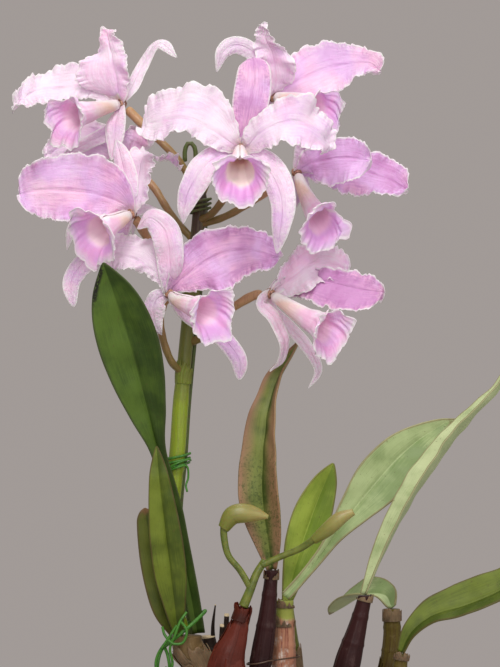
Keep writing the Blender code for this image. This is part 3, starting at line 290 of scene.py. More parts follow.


# Each blade's flush sets how deep its colour is: partly its own tint, and partly painted shade, set higher on
# petals that lie in shadow under the flowers above
BLOOMS = {
    "upper_left": Bloom(
        heart=(-101, 508, 8),
        tepals=[
            sepal([(-94, 520, 14), (-86, 536, 20), (-78, 544, 20), (-68, 536, 12)],
                  (3, 4.5, 4.2, 3.8, 4, 1.6), front=(-0.2, -0.95, 0.1), roll=(0, 30), flush=0.1),
            petal([(-104, 522, 2), (-107, 537, 3), (-110, 553, 12)], (4, 20, 25, 19, 8, 4),
                  (4, 8, 10, 9, 7, 4.4), front=(-0.3, -0.9, 0.1), flush=0.6),
            petal([(-119, 517, 14), (-138, 517.5, 14), (-156, 514, 8), (-166, 504, -2)],
                  (3, 6, 9, 12, 8, 3), (4, 12, 15, 13, 7, 3), front=(-0.2, -0.8, 0.5), flush=0.12),
            sepal([(-106, 494, 11), (-123, 484, 7), (-140, 473, 0)], (3, 5, 5.5, 5, 3.5, 1.4),
                  front=(-0.3, -0.9, 0.4)),
            sepal([(-105, 496, 1), (-105.5, 485, -1), (-107, 474, -4)], (3, 5.5, 6.5, 6, 4, 2),
                  front=(-0.3, -0.9, 0.2), flush=0.5),
        ],
        lip=[(-117, 504, -6), (-136, 499, -24)],
        lip_up=(0, 0, 1),
        stalk=[(-54, 452, 0), (-67, 474, 2), (-84, 491, 5), (-92.5, 499.5, 7)],
        lip_size=0.92,
        rosy=0.9,
    ),
    "upper_right": Bloom(
        heart=(-11, 512, 38),
        tepals=[
            sepal([(-14, 525, 32), (-20, 537, 26), (-31, 543, 22), (-40, 539, 18), (-44, 527, 20)],
                  (3.5, 5.2, 5.4, 5.6, 5, 1.8), front=(0.3, -0.9, 0.2), flush=0.15),
            petal([(-8.4, 522, 30), (-10, 535, 24), (-14, 546, 18), (-17, 556, 14)], (4, 8, 9, 10, 8, 4),
                  (4, 10, 13, 9, 5, 4), front=(0.3, -0.9, 0.1), roll=(0, 40), flush=0.3),
            petal([(-3, 517, 42), (12, 525, 44), (24, 529.5, 48), (36, 532, 48), (48, 532, 46),
                   (54.5, 527, 44)], (3, 10, 17, 17, 14, 10, 7), (3, 12, 19, 19, 14, 9, 6),
                  front=(0.1, -0.9, 0.2), flush=0.9),
            sepal([(-16, 501, 44), (-19, 484, 54)], (3, 6, 7, 6, 4, 2), front=(0.2, -0.9, -0.2)),
            sepal([(0, 503, 46), (12, 490, 54)], (3, 6, 7, 6, 4, 2), front=(0.4, -0.8, 0.3)),
        ],
        lip=[(0, 510, 30), (21, 503, 14)],
        lip_up=(0, 0, 1),
        stalk=[(-53, 454, 0), (-45, 471, 8), (-30, 492, 20), (-19, 505, 30)],
    ),
    "centre": Bloom(
        heart=(-30, 482, -48),
        tepals=[
            sepal([(-27, 492, -52), (-24, 507, -56), (-21.6, 522, -54), (-22, 533, -47), (-23.5, 536, -38)],
                  (3.5, 7.4, 10.4, 11.4, 11, 9, 5), (3.5, 7.6, 10.4, 11, 10.4, 9, 5), flush=1.5),
            petal([(-35, 484, -52), (-46, 491.5, -55), (-58, 497.5, -58), (-70, 499, -56),
                   (-81, 496.5, -49), (-89, 493, -42)], (3, 8.5, 10, 9, 11, 12, 8),
                  (3, 12, 21, 23, 19, 15, 10), front=(0, -0.95, 0.2), flush=0.22),
            petal([(-25, 483, -51), (-17, 491, -57), (-3, 497, -60), (9, 496.5, -58), (19, 489, -52),
                   (25, 480, -46)], (3, 8.5, 13, 15.6, 13, 6.5), (3, 10, 14, 17, 15, 8),
                  front=(0, -0.95, 0.2), flush=0.42),
            sepal([(-37, 479, -50), (-51, 471, -56), (-60, 457, -58), (-63.6, 445.5, -57), (-64, 436, -54)],
                  (3, 8.5, 9, 8.5, 6, 2.2), (3, 8, 9.5, 7.5, 5.5, 2.2), front=(-0.25, -0.9, 0.35),
                  flush=0.5),
            sepal([(-21, 475, -50), (-11, 465, -57), (-5.4, 450, -60), (-5.4, 435, -60), (-8, 418, -56)],
                  (3, 9, 10, 8.5, 5.5, 3), (3, 7, 7.5, 7, 5.5, 3), flush=0.55),
        ],
        lip=[(-30, 475, -64), (-30, 464, -84)],
        lip_up=(0, -0.3, 1),
        stalk=[(-55, 438, 0), (-48, 441, -8), (-41, 449, -18), (-34, 462, -30), (-31, 473, -39)],
        lip_size=0.9,
        cream=1.0,
    ),
    "right": Bloom(
        heart=(4, 467, -2),
        tepals=[
            sepal([(9, 480, -6), (13, 488, -12), (17, 497, -14)], (3, 5, 6.5, 6, 4, 2),
                  front=(0.5, -0.8, 0)),
            petal([(10, 471, -7), (21, 474, -14), (33, 475.4, -20), (49, 473.5, -22)],
                  (3, 8, 12, 13, 12, 8), (3, 9, 15, 16, 13, 8), front=(0.1, -0.9, 0.3), flush=1.15),
            petal([(24, 469, 6), (45, 467, 8), (60, 462, 6), (71, 456, 2)], (3, 6, 10, 13, 13, 6),
                  (3, 8, 17, 16, 12, 8), front=(0.1, -0.9, 0.2), flush=1.45),
            sepal([(10, 457, 6), (13, 446, 10), (17, 433, 12)], (3, 5, 6, 5, 3, 1.5),
                  front=(0.5, -0.7, 0.4)),
            sepal([(7, 456, 9), (4, 446, 14)], (3, 5, 5.5, 4.5, 3, 1.5), front=(0.2, -0.9, 0.2), flush=0.8),
        ],
        lip=[(8, 456, -10), (15, 443, -19), (22, 434, -33)],
        lip_up=(0.9, -0.2, 0.4),
        stalk=[(-54, 436, 0), (-46, 437.5, -3), (-37, 441, -5), (-28, 446, -6), (-12, 456, -6),
               (-4, 461.5, -4)],
        lip_size=0.86,
        rosy=0.2,
    ),
    "left": Bloom(
        heart=(-95, 442, -30),
        tepals=[
            sepal([(-98, 458, -34), (-101, 474, -30), (-104, 486, -20)], (3.5, 6, 7.5, 7, 5, 2.4),
                  front=(-0.3, -0.9, 0.1), flush=0.5),
            petal([(-99, 447, -32), (-114, 453, -35), (-132, 455.6, -37), (-150, 456, -38),
                   (-163, 453.5, -36)], (3, 10, 15, 18, 17, 11), (3, 18, 23, 22, 18, 11),
                  front=(0, -0.95, 0.2), flush=1.05),
            petal([(-93, 453, -34), (-91, 466, -31), (-87, 477, -27), (-76, 476, -20), (-65, 469, -14)],
                  (3, 10, 10, 9, 6.5, 3), (3, 10, 13, 10, 7, 3), front=(-0.3, -0.8, 0.4), roll=(0, 15),
                  flush=0.3),
            sepal([(-106, 428, -17), (-121, 416, -12), (-131, 402, -14), (-130, 386, -16)],
                  (3, 7, 9.5, 7.5, 5.5, 4), (3, 6, 7.5, 6.5, 5.5, 4), front=(-0.2, -0.9, 0.2), flush=0.6),
            sepal([(-88, 447, -22), (-79, 445, -10)], (3, 5, 6, 5, 3.5, 2), front=(0.2, -0.7, 0.6),
                  flush=0.2),
        ],
        lip=[(-103, 438, -40), (-119, 429, -54)],
        lip_up=(0.3, -0.4, 1),
        stalk=[(-58, 396, 0), (-72, 411, -8), (-84, 425, -14), (-89.5, 434, -20)],
        rosy=0.45,
        cream=0.5,
    ),
    "left_back": Bloom(
        heart=(-98, 470, 22),
        tepals=[
            sepal([(-88, 483, 30), (-82, 491, 44), (-80, 493, 58)], (3, 5.5, 7, 6, 4, 2),
                  front=(-0.8, 0.3, 0.3)),
            petal([(-113, 483, 18), (-132, 483, 19), (-148, 477, 18)], (3, 10, 14, 13, 10, 5),
                  (3, 8.5, 13, 14, 10, 5), front=(-0.1, -0.9, 0.3), flush=0.3),
            petal([(-96, 480, 14), (-93, 488, 10), (-93, 494, 12)], (3, 8, 9, 9, 8, 5), (3, 8, 9, 9, 8, 5),
                  front=(0.2, -0.9, 0.2), flush=0.9),
            sepal([(-103, 458, 17), (-120, 444, 14), (-131, 432, 12), (-134, 420, 12)],
                  (3, 5.5, 6.5, 6, 4, 1.5), front=(-0.6, -0.6, 0.4), roll=(10, 30), flush=0.3),
            sepal([(-92, 458, 28), (-93, 442, 38), (-95, 426, 46)], (3, 6, 7, 6, 4, 2),
                  front=(-0.8, 0.3, 0.3)),
        ],
        lip=[(-106, 466, 35), (-118, 459, 52)],
        lip_up=(0, 0, 1),
        stalk=[(-56, 424, 0), (-68, 437, 6), (-75, 447, 10), (-82, 458, 15), (-91, 465.5, 19)],
    ),
    "lower_middle": Bloom(
        heart=(-72.5, 394, -34),
        tepals=[
            sepal([(-72, 413, -44), (-75, 431, -46), (-84, 439, -42), (-92, 433, -37)],
                  (3.5, 7, 8.6, 9, 7, 3), front=(0, -0.95, 0.1), flush=0.5),
            petal([(-69, 399, -36), (-54, 411, -38), (-39, 418.4, -38), (-24, 420, -34), (-6, 415.5, -27)],
                  (3, 12, 17, 14.5, 13, 7), (3, 12, 21, 19, 13, 8), front=(0, -0.95, 0.2), flush=1.4),
            petal([(-78, 403.4, -35), (-90, 413, -31), (-102, 417, -27), (-116, 417, -22)],
                  (3, 4, 5, 9, 9, 5), (3, 9, 15, 14.5, 11, 5), front=(0, -0.95, 0.2), flush=0.05),
            sepal([(-80, 390, -34), (-82, 379, -32), (-77, 369, -30)], (3, 5.5, 7, 6.5, 4.5, 1.5),
                  front=(0, -0.95, 0.2), flush=0.45),
            sepal([(-61, 381, -30), (-43, 370, -29), (-31, 355, -28), (-30, 342, -26)],
                  (3, 4.6, 5.2, 5.6, 5.4, 4.4), front=(0, -0.95, 0.2), flush=0.75),
        ],
        lip=[(-65, 389, -46), (-46, 382, -66)],
        lip_up=(-0.2, -0.5, 1),
        stalk=[(-64, 346, 0), (-71, 353, -8), (-76, 366, -12), (-78, 379, -18), (-76.5, 387, -24)],
        lip_size=0.9,
        rosy=0.45,
    ),
    "lower_right": Bloom(
        heart=(-12, 394, -18),
        tepals=[
            sepal([(3, 409, -6), (16, 419, 0), (25, 424, 4)], (3, 5, 6.5, 6.5, 5, 2.5),
                  front=(0.2, -0.9, 0.1), roll=(50, 60), flush=0.4),
            petal([(3, 405, -12), (17, 413, -6), (36, 409, -2)], (3, 8, 11, 12, 12, 7),
                  (3, 10, 14, 15, 14, 8), front=(0, -0.95, 0.3), flush=0.5),
            petal([(4, 402, -8), (22, 401, -14), (39, 397, -20), (57, 394, -22)], (3, 7, 8, 9, 11, 6),
                  (3, 10, 14, 16, 15, 8), front=(0.1, -0.9, 0.3), flush=1.75),
            sepal([(-16.5, 388.5, -23.5), (-9, 379.4, -25), (-3, 365, -23), (-5.4, 353, -20),
                   (-12, 347, -18)], (4, 4.5, 4.6, 4.8, 3.6, 1), front=(0.1, -0.9, 0.3), flush=0.45),
            sepal([(-10, 384, -12), (0, 374, -10), (11, 361, -11), (17, 348, -12), (11, 337, -12)],
                  (3, 3.6, 4, 3.9, 2.8, 0.8), front=(0.2, -0.9, 0.3), flush=0.5),
        ],
        lip=[(0, 386, -28), (12, 378, -38), (26, 371, -50)],
        lip_up=(0.4, -0.3, 0.8),
        stalk=[(-59, 365, 0), (-48, 370, -6), (-37, 383, -12), (-28, 389.5, -16), (-21, 393, -18)],
        lip_size=0.88,
        rosy=0.95,
    ),
}


def leaf_blade(line, left, right=None, front=FRONT, roll=(0, 0), cup=22, outline=0.86):
    return Blade(line, left, right or left, front, roll, outline, cup, groove=1.2, rough=0.5)


# Each leaf: the bulb that carries it, its finish and its blade
LEAVES = {
    "tall_left": ("papery", "green",
        leaf_blade([(-55.5, 191, 4.5), (-59, 211, 1), (-65, 243, -7), (-70, 270, -12), (-79, 300, -19),
                    (-87, 330, -29), (-95, 360, -38), (-103.5, 387, -46), (-112, 413, -55)],
                   (3.0, 4.2, 5, 4.6, 4.2, 5, 11, 16, 18, 14.6, 4),
                   (4.5, 5, 5, 4.6, 4.2, 5, 11, 16, 18, 14.6, 4), outline=0.93)),
    "short_left": ("papery", "dull",
        leaf_blade([(-67, 190.5, -6.5), (-69, 207, -14), (-72, 230, -22), (-75.5, 258, -29),
                    (-78.5, 285, -33), (-80, 304, -34)], (2.6, 6.5, 9.5, 10, 8.6, 6.2, 2.5), cup=-18)),
    "small_left": ("papery", "brown_tipped",
        leaf_blade([(-70.5, 190.5, -2.5), (-76, 206, -8), (-81, 230, -9), (-85, 250, -11), (-87, 266, -12)],
                   (2, 6.4, 8, 8, 6.6, 5), (2, 4.6, 5.4, 6, 5.4, 4.4), cup=-15, outline=0.9)),
    "middle": ("dark_middle", "ruddy",
        leaf_blade([(-11, 229.5, -5), (-13, 246, -6), (-15.8, 264, -6), (-17, 282, -5), (-15, 312, -1),
                    (-12, 330, 4), (-7.6, 343.5, 8), (-1, 355, 13), (6, 368, 18)],
                   (3, 8.6, 12.4, 13, 12, 10.4, 7.6, 5.4, 1.8), roll=(0, 60), cup=30)),
    "back_right": ("striped", "pale",
        leaf_blade([(-3, 212.5, 10), (3, 219, 11), (18, 237, 15), (36, 262, 21.5), (66, 297, 32.5),
                    (87, 313, 39.5), (100, 319, 42)], (3, 3, 4.5, 10, 15, 14, 8, 2))),
    "far_right": ("dark_right", "yellow",
        leaf_blade([(45, 214.5, -6), (57, 243, 2), (75, 276, 10), (96, 306, 21), (113, 325, 28),
                    (124, 337, 32), (133, 353, 34)], (3, 7, 10, 11, 9.5, 6.5, 2.4), front=(-0.5, -0.7, 0.5),
                   roll=(20, 40), cup=30)),
    "low_right": ("low_right", "dull",
        leaf_blade([(67, 180, 4), (73, 192, 4), (85, 202, 4), (103, 208, 3), (129, 219, 2), (153, 240, 0)],
                   (3, 7, 11, 13, 12, 9, 3), front=(-0.3, -0.6, 0.8), cup=25)),
    "pale_middle": ("back", "lime",
        leaf_blade([(-2, 209.5, 32), (4, 234, 36), (14, 264, 44), (26, 293, 50)], (3, 7, 11, 12, 9, 3))),
    "drooping": ("brown_right", "pale",
        leaf_blade([(61, 206.5, 26), (56, 214, 38), (40, 213, 58), (24, 202, 78)], (3, 8, 12, 13, 10, 3),
                   front=(-0.1, -0.7, 0.7))),
}


@dataclass
class Bulb:
    """A pseudobulb: its foot (x, y) on the rhizome, the points of its axis, its low, middle and top radius,
    its slot, which is not used, its finish, and its skins: where each starts and ends, how loose and how torn
    it is, and whether it is fresh (0) or dry (1)."""

    foot: tuple
    line: list
    radii: tuple
    slot: str
    finish: str
    skins: list
    flatness: float = 1.0


BULBS = {
    "papery": Bulb((-46, 4), [(-54, 170, 2), (-61, 182, -0.5), (-62, 188, -1)], (5, 7.5, 9),
                   "papery_sheath", "papery", [(0.05, 0.96, 0.5, 0.2, 1), (0.1, 0.9, 1.3, 0.35, 1),
                                               (0.1, 0.7, 2.0, 0.3, 1)]),
    "cut_stump": Bulb((-42, 20), [(-44, 160, 20), (-47, 178, 20), (-49, 188, 20)], (4.5, 5.5, 4.2),
                      "dark_bulb", "stump", [(0.05, 0.5, 0.6, 0.3, 1)]),
    "new_growth": Bulb((-36, -16), [(-38, 170, -18), (-33, 188, -18), (-28, 204, -18)], (5.5, 8.5, 3.6),
                       "red_brown_sheath", "growth", [(0.04, 0.3, 0.5, 0.3, 1), (0.12, 1.0, 3.0, 0.1, 0),
                                                      (0.1, 0.78, 4.4, 0.12, 0), (0.9, 1.08, 1.2, 0.35, 0)],
                       0.62),
    "dark_middle": Bulb((-22, -4), [(-18, 170, -5), (-14, 198, -5), (-11, 227, -5)], (5, 6.8, 3.9),
                        "dark_bulb", "dark", [(0.08, 0.38, 0.5, 0.3, 1), (0.95, 1.05, 0.3, 0.8, 1)]),
    "striped": Bulb((-5, 12), [(-4, 160, 11), (-3.5, 185, 10), (-3, 209, 10)], (6, 7.6, 5.2),
                    "striped_bulb", "striped", [(0.05, 0.42, 0.5, 0.3, 1), (0.8, 0.93, 0.25, 0.75, 1),
                                                (0.95, 1.05, 0.3, 0.8, 1)]),
    "back": Bulb((6, 34), [(2, 160, 33), (0, 185, 32), (-2, 207, 32)], (5, 6.2, 4), "green_bulb",
                 "green_bulb", [(0.05, 0.7, 0.5, 0.3, 1)]),
    "dark_right": Bulb((26, -6), [(34, 170, -6), (40, 192, -6), (45, 212, -6)], (5.5, 8.2, 4.2),
                       "dark_bulb", "dark", [(0.05, 0.36, 0.5, 0.3, 1), (0.96, 1.04, 0.3, 0.8, 1)]),
    "brown_right": Bulb((48, 24), [(58, 165, 25), (61, 185, 26), (61, 204, 26)], (5, 6, 5), "papery_sheath",
                        "brown", [(0.05, 0.4, 0.5, 0.3, 1), (0.4, 0.8, 0.2, 0.5, 0),
                                  (0.9, 1.035, 0.3, 0.4, 1)]),
    "low_right": Bulb((56, 2), [(60, 150, 3), (65, 166, 4), (67, 177, 4)], (4.5, 5.2, 4), "green_bulb",
                      "brown", [(0.05, 0.6, 0.5, 0.3, 1), (0.94, 1.05, 0.3, 0.7, 1)]),
}

# What is left of older bulbs beside the cut stump: points (x, y, z) and radii
OLD_CUTS = [
    ([(-46.4, 20, 183), (-46.5, 20, 193), (-45, 20, 205.5)], (1.5, 1.0, 0.4)),
    ([(-44, 18, 132), (-42, 14, 160), (-40.5, 10, 194.5)], (2.2, 2.3, 1.7)),
    ([(-40, 17, 132), (-39.5, 12, 165), (-38, 9, 201)], (2.2, 2.2, 1.5)),
]

# Places on the rhizome (x, y), and where its side branches start and end
RHIZOME = [(-60, 14), (-46, 4), (-36, -16), (-22, -4), (-5, 12), (10, 6), (26, -6), (42, -4), (56, 2),
           (64, 6)]
BRANCHES = [[(-46, 4), (-42, 20)], [(-5, 12), (6, 34)], [(56, 2), (48, 24)]]
RHIZOME_RADIUS = 5.0
BRANCH_RADIUS = 4.3
RHIZOME_Z = 124.5
ROOT_RADIUS = 1.9
# Roots from the rhizome over the bark, and the last two over the rim: (x, y, z)
ROOTS = [
    [(-36, -16, 124), (-30, -34, 122.5), (-18, -50, 122), (2, -60, 121.5)],
    [(26, -6, 124), (30, -26, 122.5), (44, -40, 122), (52, -46, 121.5)],
    [(6, 34, 124), (16, 46, 122.5), (34, 52, 121.5)],
    [(-60, 14, 124), (-67, 23, 131.9), (-74, 26.3, 135.8), (-79.5, 28, 132), (-80, 28, 121), (-78, 28, 104),
     (-74, 27, 84)],
    [(-5, 12, 124), (-8, -20, 123), (-14, -44, 124.5), (-20, -66, 132), (-22, -73, 134.5),
     (-24, -80, 131.5), (-24.4, -81, 120), (-23.2, -77.5, 100), (-21, -73, 80)],
]

SCAPE = [(-63, 190.8, 0.5), (-69, 203, 1), (-73.5, 222, 1), (-73.5, 244, 0), (-70.5, 270, 0),
         (-67.5, 300, 0), (-65.4, 330, 0), (-61.5, 372, 0), (-57, 414, 0), (-54.5, 440, 0), (-53.5, 456, 0)]
BRACTS = [(-64, 343), (-59.5, 392)]
STAKE = [(-46, 60, 24), (-54, 130, 24), (-60, 190, 18), (-66, 250, 9), (-62.5, 300, 5.5), (-60.5, 330, 5.5),
         (-56.5, 372, 5.5), (-52, 414, 6), (-51, 449, 7)]
STAKE_HOOK = [(-56, 470, 9), (-57, 481, 9), (-60.5, 484.5, 9), (-63, 480, 9), (-63, 473, 9)]
TIE_HEIGHTS = [296, 449]
# The wire round the leaf bases is a circle that rises along x: its middle (x, y, z), its radius and how much
# it rises. The loop hangs from it.
LEAF_TIE = ((-63.5, -2, 193), 12.75, 0.85)
LEAF_TIE_LOOP = [(-76.0, -4, 182.6), (-78.3, -8, 177), (-79, -9, 169), (-75.5, -9, 163), (-72, -10, 169),
                 (-73, -10, 178), (-75.3, -5.5, 183)]
THIN_TIE_HEIGHT = 174
# Loose strands of the two green wires: (x, z, y)
STEM_STRANDS = [
    [(-74, 289, -6), (-68, 292, -8.5), (-61, 294.5, -6), (-59.6, 294, 0)],
    [(-73.6, 287, -5), (-68, 289.5, -8), (-62, 290.5, -6), (-61, 284, -5), (-62.4, 279, -6),
     (-61.6, 275, -7)],
]
LEAF_STRANDS = [
    [(-62, 203, -15), (-66, 197, -17), (-69, 189, -17.5), (-72, 181, -15.5), (-70.5, 172, -14),
     (-73, 164, -14)],
    [(-68, 195, -17.2), (-73, 187, -17), (-79, 178, -14), (-80.5, 170, -13), (-77, 165, -13),
     (-74, 170, -14.5)],
    [(-66, 198, -16.5), (-62, 192, -17), (-64, 185, -17), (-70, 184, -17.2), (-75, 189, -15.8),
     (-76.5, 194, -12)],
]

BUD_STEM = [(-28, 206.4, -18), (-24, 216, -18), (-20, 226, -17), (-15, 234, -16)]
BUD_STALKS = {
    "left": [(-23.5, 217, -18), (-30, 228, -19), (-37, 237, -20), (-39.6, 248, -20), (-39.5, 256, -20)],
    "right": [(-17, 231, -17), (-6, 236, -18), (6, 241, -20), (15, 247, -22)],
}
BUDS = {
    "left": ([(-40, 253, -20), (-34, 261, -20), (-24, 262, -20), (-13, 260, -20)], (3.5, 5.8, 5.2, 1.2)),
    "right": ([(14, 246, -22), (22, 252, -23), (30, 259, -24), (38, 263, -25)], (2.6, 4.2, 4.3, 2.0)),
}


def seen(point):
    """The real place of a point that shows at (x, z) in the plane of the stem and lies at depth y."""
    x, z, y = point
    share = (y - EYE[1]) / -EYE[1]
    return np.array([EYE[0] + (x - EYE[0]) * share, y, EYE[2] + (z - EYE[2]) * share])


def seen_line(points):
    return [seen(point) for point in points]


def read_at(values, steps, shares):
    """Rows of three numbers, known at some steps, read in between."""
    return np.stack([np.interp(shares, steps, values[:, axis]) for axis in range(3)], -1)


def walked(path):
    """How far along a path each step between its points goes."""
    return np.linalg.norm(np.diff(path, axis=0), axis=1)


def smooth_path(points, count):
    """Points evenly spaced along a smooth curve through the given ones."""
    points = np.asarray(points, float)
    ends = [2 * points[0] - points[1]], [2 * points[-1] - points[-2]]
    padded = np.vstack([ends[0], points, ends[1]])
    fine = []
    for a, b, c, d in zip(padded, padded[1:], padded[2:], padded[3:]):
        for t in np.linspace(0, 1, 16, endpoint=False):
            bend = (2 * a - 5 * b + 4 * c - d) * t**2 + (3 * b - a - 3 * c + d) * t**3
            fine.append(b + 0.5 * ((c - a) * t + bend))
    fine = np.array(fine + [points[-1]])
    length = np.concatenate([[0], np.cumsum(walked(fine))])
    return read_at(fine, length, np.linspace(0, length[-1], count))


def path_frames(path, front):
    """At each point of a path its direction, its side and its face, which turn with it and don't twist."""
    directions = np.gradient(path, axis=0)
    directions /= np.linalg.norm(directions, axis=1)[:, None]
    face = np.array(front, float)
    faces = []
    for direction in directions:
        face = face - direction * face.dot(direction)
        face = face / np.linalg.norm(face)
        faces.append(face)
    faces = np.array(faces)
    return directions, np.cross(directions, faces), faces


def unit(vectors):
    return vectors / np.maximum(np.linalg.norm(vectors, axis=-1, keepdims=True), 1e-9)


def eased(values, shares):
    """Values given at even steps, read smoothly at any share."""
    values = np.asarray(values, float)
    slopes = np.gradient(values)
    place = np.clip(shares, 0, 1) * (len(values) - 1)
    low = np.minimum(place.astype(int), len(values) - 2)
    t = place - low
    first, last = values[low], values[low + 1]
    ends = first * (2 * t**3 - 3 * t**2 + 1) + last * (3 * t**2 - 2 * t**3)
    return ends + slopes[low] * (t**3 - 2 * t**2 + t) + slopes[low + 1] * (t**3 - t**2)


def unevenness(points, wavelength, seed):
    """A smooth random height between about -1 and 1 at each point."""
    chance = np.random.default_rng(seed)
    total = np.zeros(points.shape[:-1])
    for _ in range(7):
        turn = unit(chance.normal(size=3)) * math.tau / (wavelength * chance.uniform(0.7, 1.5))
        total += np.sin(points @ turn + chance.uniform(0, math.tau))
    return total / 3


def bell(distance, reach):
    """1 where a distance is none, and dying away by about twice its reach."""
    return np.exp(-((distance / reach) ** 2))


def softened(values, steps):
    """Values evened out over so many neighbours on each side."""
    around = 2 * steps + 1
    return np.convolve(np.pad(values, steps, mode="edge"), np.ones(around) / around, mode="valid")


def flutter(walk, lengths, phases):
    """An irregular wave along a margin, from about -1 to 1: waves of several lengths, strong in places."""
    total = 0
    for number, length in enumerate(lengths):
        strength = 0.6 + 0.4 * np.sin(walk * math.tau / (length * 4.3) + phases[number] * 2)
        total = total + strength * np.sin(walk * math.tau / length + phases[number])
    return total / math.sqrt(len(lengths))


def margin_steps(count):
    """Places from -1 to 1 that lie closer together towards both ends."""
    even = np.linspace(-1, 1, count)
    return 0.45 * even + 0.55 * np.sin(even * math.pi / 2)


def sheet_marks(share, across, margin, flush, length):
    """What the finish of a petal, leaf or lip reads at each point of its sheet."""
    return {
        "along": share + 0 * across, "across": across + 0 * share, "margin": margin,
        "flush": np.full(margin.shape, flush), "reach": length * share + 0 * across,
    }


def blade_surface(blade, base, size, seed, facing=None):
    """The middle surface of a blade, rows of points from base to tip, and its marks. Where a facing is given,
    the base turns to it."""
    chance = np.random.default_rng(seed)
    rows, columns = size
    shares = 1 - (1 - np.linspace(0, 1, rows)) ** 1.5
    path = smooth_path([*base, *seen_line(blade.line)], 160)
    steps, length = np.linspace(0, 1, len(path)), walked(path).sum()
    centres = read_at(path, steps, shares)
    directions, _, faces = (unit(read_at(values, steps, shares)) for values in path_frames(path, blade.front))
    if facing is not None:
        turning = np.clip(shares / TURN_SHARE, 0, 1)[:, None]
        faces = faces * turning + facing * (1 - turning)
    faces = unit(faces - directions * (faces * directions).sum(1)[:, None])
    sides = np.cross(directions, faces)
    roll = np.radians(blade.roll[0] + (blade.roll[1] - blade.roll[0]) * shares)[:, None]
    sides, faces = np.cos(roll) * sides + np.sin(roll) * faces, np.cos(roll) * faces - np.sin(roll) * sides
    across = margin_steps(columns)[None, :]
    share = shares[:, None]
    closing = np.sqrt(1 - np.clip((share - blade.outline) / (1 - blade.outline), 0, 1) ** 2)
    halves = np.where(across > 0, eased(blade.right, shares)[:, None], eased(blade.left, shares)[:, None])
    halves = halves * np.maximum(closing, TIP_WIDTH)
    margin = np.minimum((1 - abs(across)) * halves, (1 - share) * length + 0.0 * across)
    past_base = np.clip(share / 0.25, 0, 1)
    edge, wide_edge = bell(margin, RUFFLE_REACH) * past_base, bell(margin, SWELL_REACH) * past_base
    phases = chance.uniform(0, math.tau, 14)
    walk = length * share + across * 1.5 + np.where(across > 0, phases[5] * 3, 0)
    ruffle = flutter(walk, RUFFLES, phases[:3])
    swell = flutter(walk + across * 4, SWELLS, phases[3:5])
    notch = bell(margin, NOTCH_REACH) * blade.frill * 0.28 * flutter(walk, NOTCHES, phases[6:9])
    folds = bell(margin, FOLD_REACH) * (margin > 0.5) * flutter(walk, FOLDS, phases[9:11])
    lobes = blade.frill * 0.5 * flutter(walk, LOBES, phases[11:13]) * abs(across) ** 3
    cup = math.radians(blade.cup)
    reach = (halves * np.sin(cup * across) / cup) + np.sign(across) * (lobes + notch * abs(across) ** 6)
    wave = blade.wave * abs(across) ** 1.6 * np.sin(math.tau * (blade.waves * share + 0.16) + 1.3 * across)
    rise = halves * (1 - np.cos(cup * across)) / cup + wave * np.clip(share * 1.5, 0, 1)
    rise = rise + blade.frill * (0.7 * edge * ruffle + 0.8 * wide_edge * swell + 0.12 * folds)
    rise = rise + (halves * (np.sqrt(across**2 + 0.004) - 0.06) * LEAF_FOLD if blade.frill == 0 else 0)
    rise = rise - blade.groove * bell(across * halves, GROOVE_REACH) * np.sin(math.pi * np.clip(share, 0, 1))
    grid = centres[:, None] + sides[:, None] * reach[..., None] + faces[:, None] * rise[..., None]
    rough = unevenness(grid, 16, seed + 5) * blade.rough * np.clip(share * 2, 0, 1)
    return grid + faces[:, None] * rough[..., None], sheet_marks(share, across, margin, blade.flush, length)


def lip_surface(bloom, seed):
    """The middle surface of a lip: a tube, slit along its top, that flares to a frilled margin."""
    chance = np.random.default_rng(seed)
    rows, columns = LIP_GRID
    heart = seen(bloom.heart)
    line = seen_line(bloom.lip)
    neck = LIP_PROFILE[0][1] * 0.86 - 0.5
    start = heart + unit(line[0] - heart) * math.sqrt((HEART_RADIUS + SEAT_GAP) ** 2 - neck**2)
    path = smooth_path([start, *line], 60)
    frames = path_frames(path, bloom.lip_up)
    shares = 1 - (1 - np.linspace(0, 1, rows)) ** 1.35
    along, radii, wraps = (eased(values, shares) for values in zip(*LIP_PROFILE))
    steps = np.linspace(0, 1, len(path))
    centres, directions, sides, ups = (read_at(values, steps, along)[:, None] for values in (path, *frames))
    across = margin_steps(columns)[None, :]
    share, size = shares[:, None], bloom.lip_size
    angle = np.radians(wraps + np.interp(along, *zip(*LIP_CLOSING)))[:, None] * across
    phases = chance.uniform(0, math.tau, 8)
    to_mouth = (1 - share) * 20 * size
    to_slit = (1 - abs(across)) * 26 * size * share
    margin = np.minimum(to_mouth + 0 * across, to_slit)
    edge = bell(to_mouth, MOUTH_REACH) + 0 * across
    slit = bell(to_slit, SLIT_REACH) * np.clip(share * 2 - 0.5, 0, 1)
    crisp = bell(margin, LIP_NOTCH_REACH) * np.clip(share * 2 - 0.4, 0, 1)
    walk = across * 40.0 * size
    swell, frill = flutter(walk, LIP_SWELLS, phases[:2]), flutter(walk, LIP_FRILLS, phases[2:5])
    radius = radii[:, None] * size + LIP_FRILL * size * edge * (0.8 * swell + 0.42 * frill)
    curl = 0.9 + 0.8 * np.sin(share * 23 + phases[5]) + 0.5 * np.sin(share * 41 + across * 3)
    radius = radius + slit * curl
    lobe = np.clip(1 - abs(across) / 0.5, 0, 1) ** 0.8
    forward = edge * (2.6 * lobe * size + 0.9 * swell * size - 0.5 * frill)
    forward = forward + crisp * 0.5 * flutter(walk, LIP_NOTCHES, phases[5:8])
    droop = edge**1.5 * lobe * 3.4 * size
    angle = angle + slit * np.sign(across) * 0.08 * np.sin(share * 21 + phases[6])
    grid = centres + (radius + droop)[..., None] * (
        np.sin(angle)[..., None] * sides - np.cos(angle)[..., None] * ups
    )
    grid = grid + forward[..., None] * directions
    grid = grid + unit(grid - centres) * (unevenness(grid, 13, seed + 3) * 0.6 * share)[..., None]
    return grid, sheet_marks(share, across, margin, 0.5, walked(path).sum())


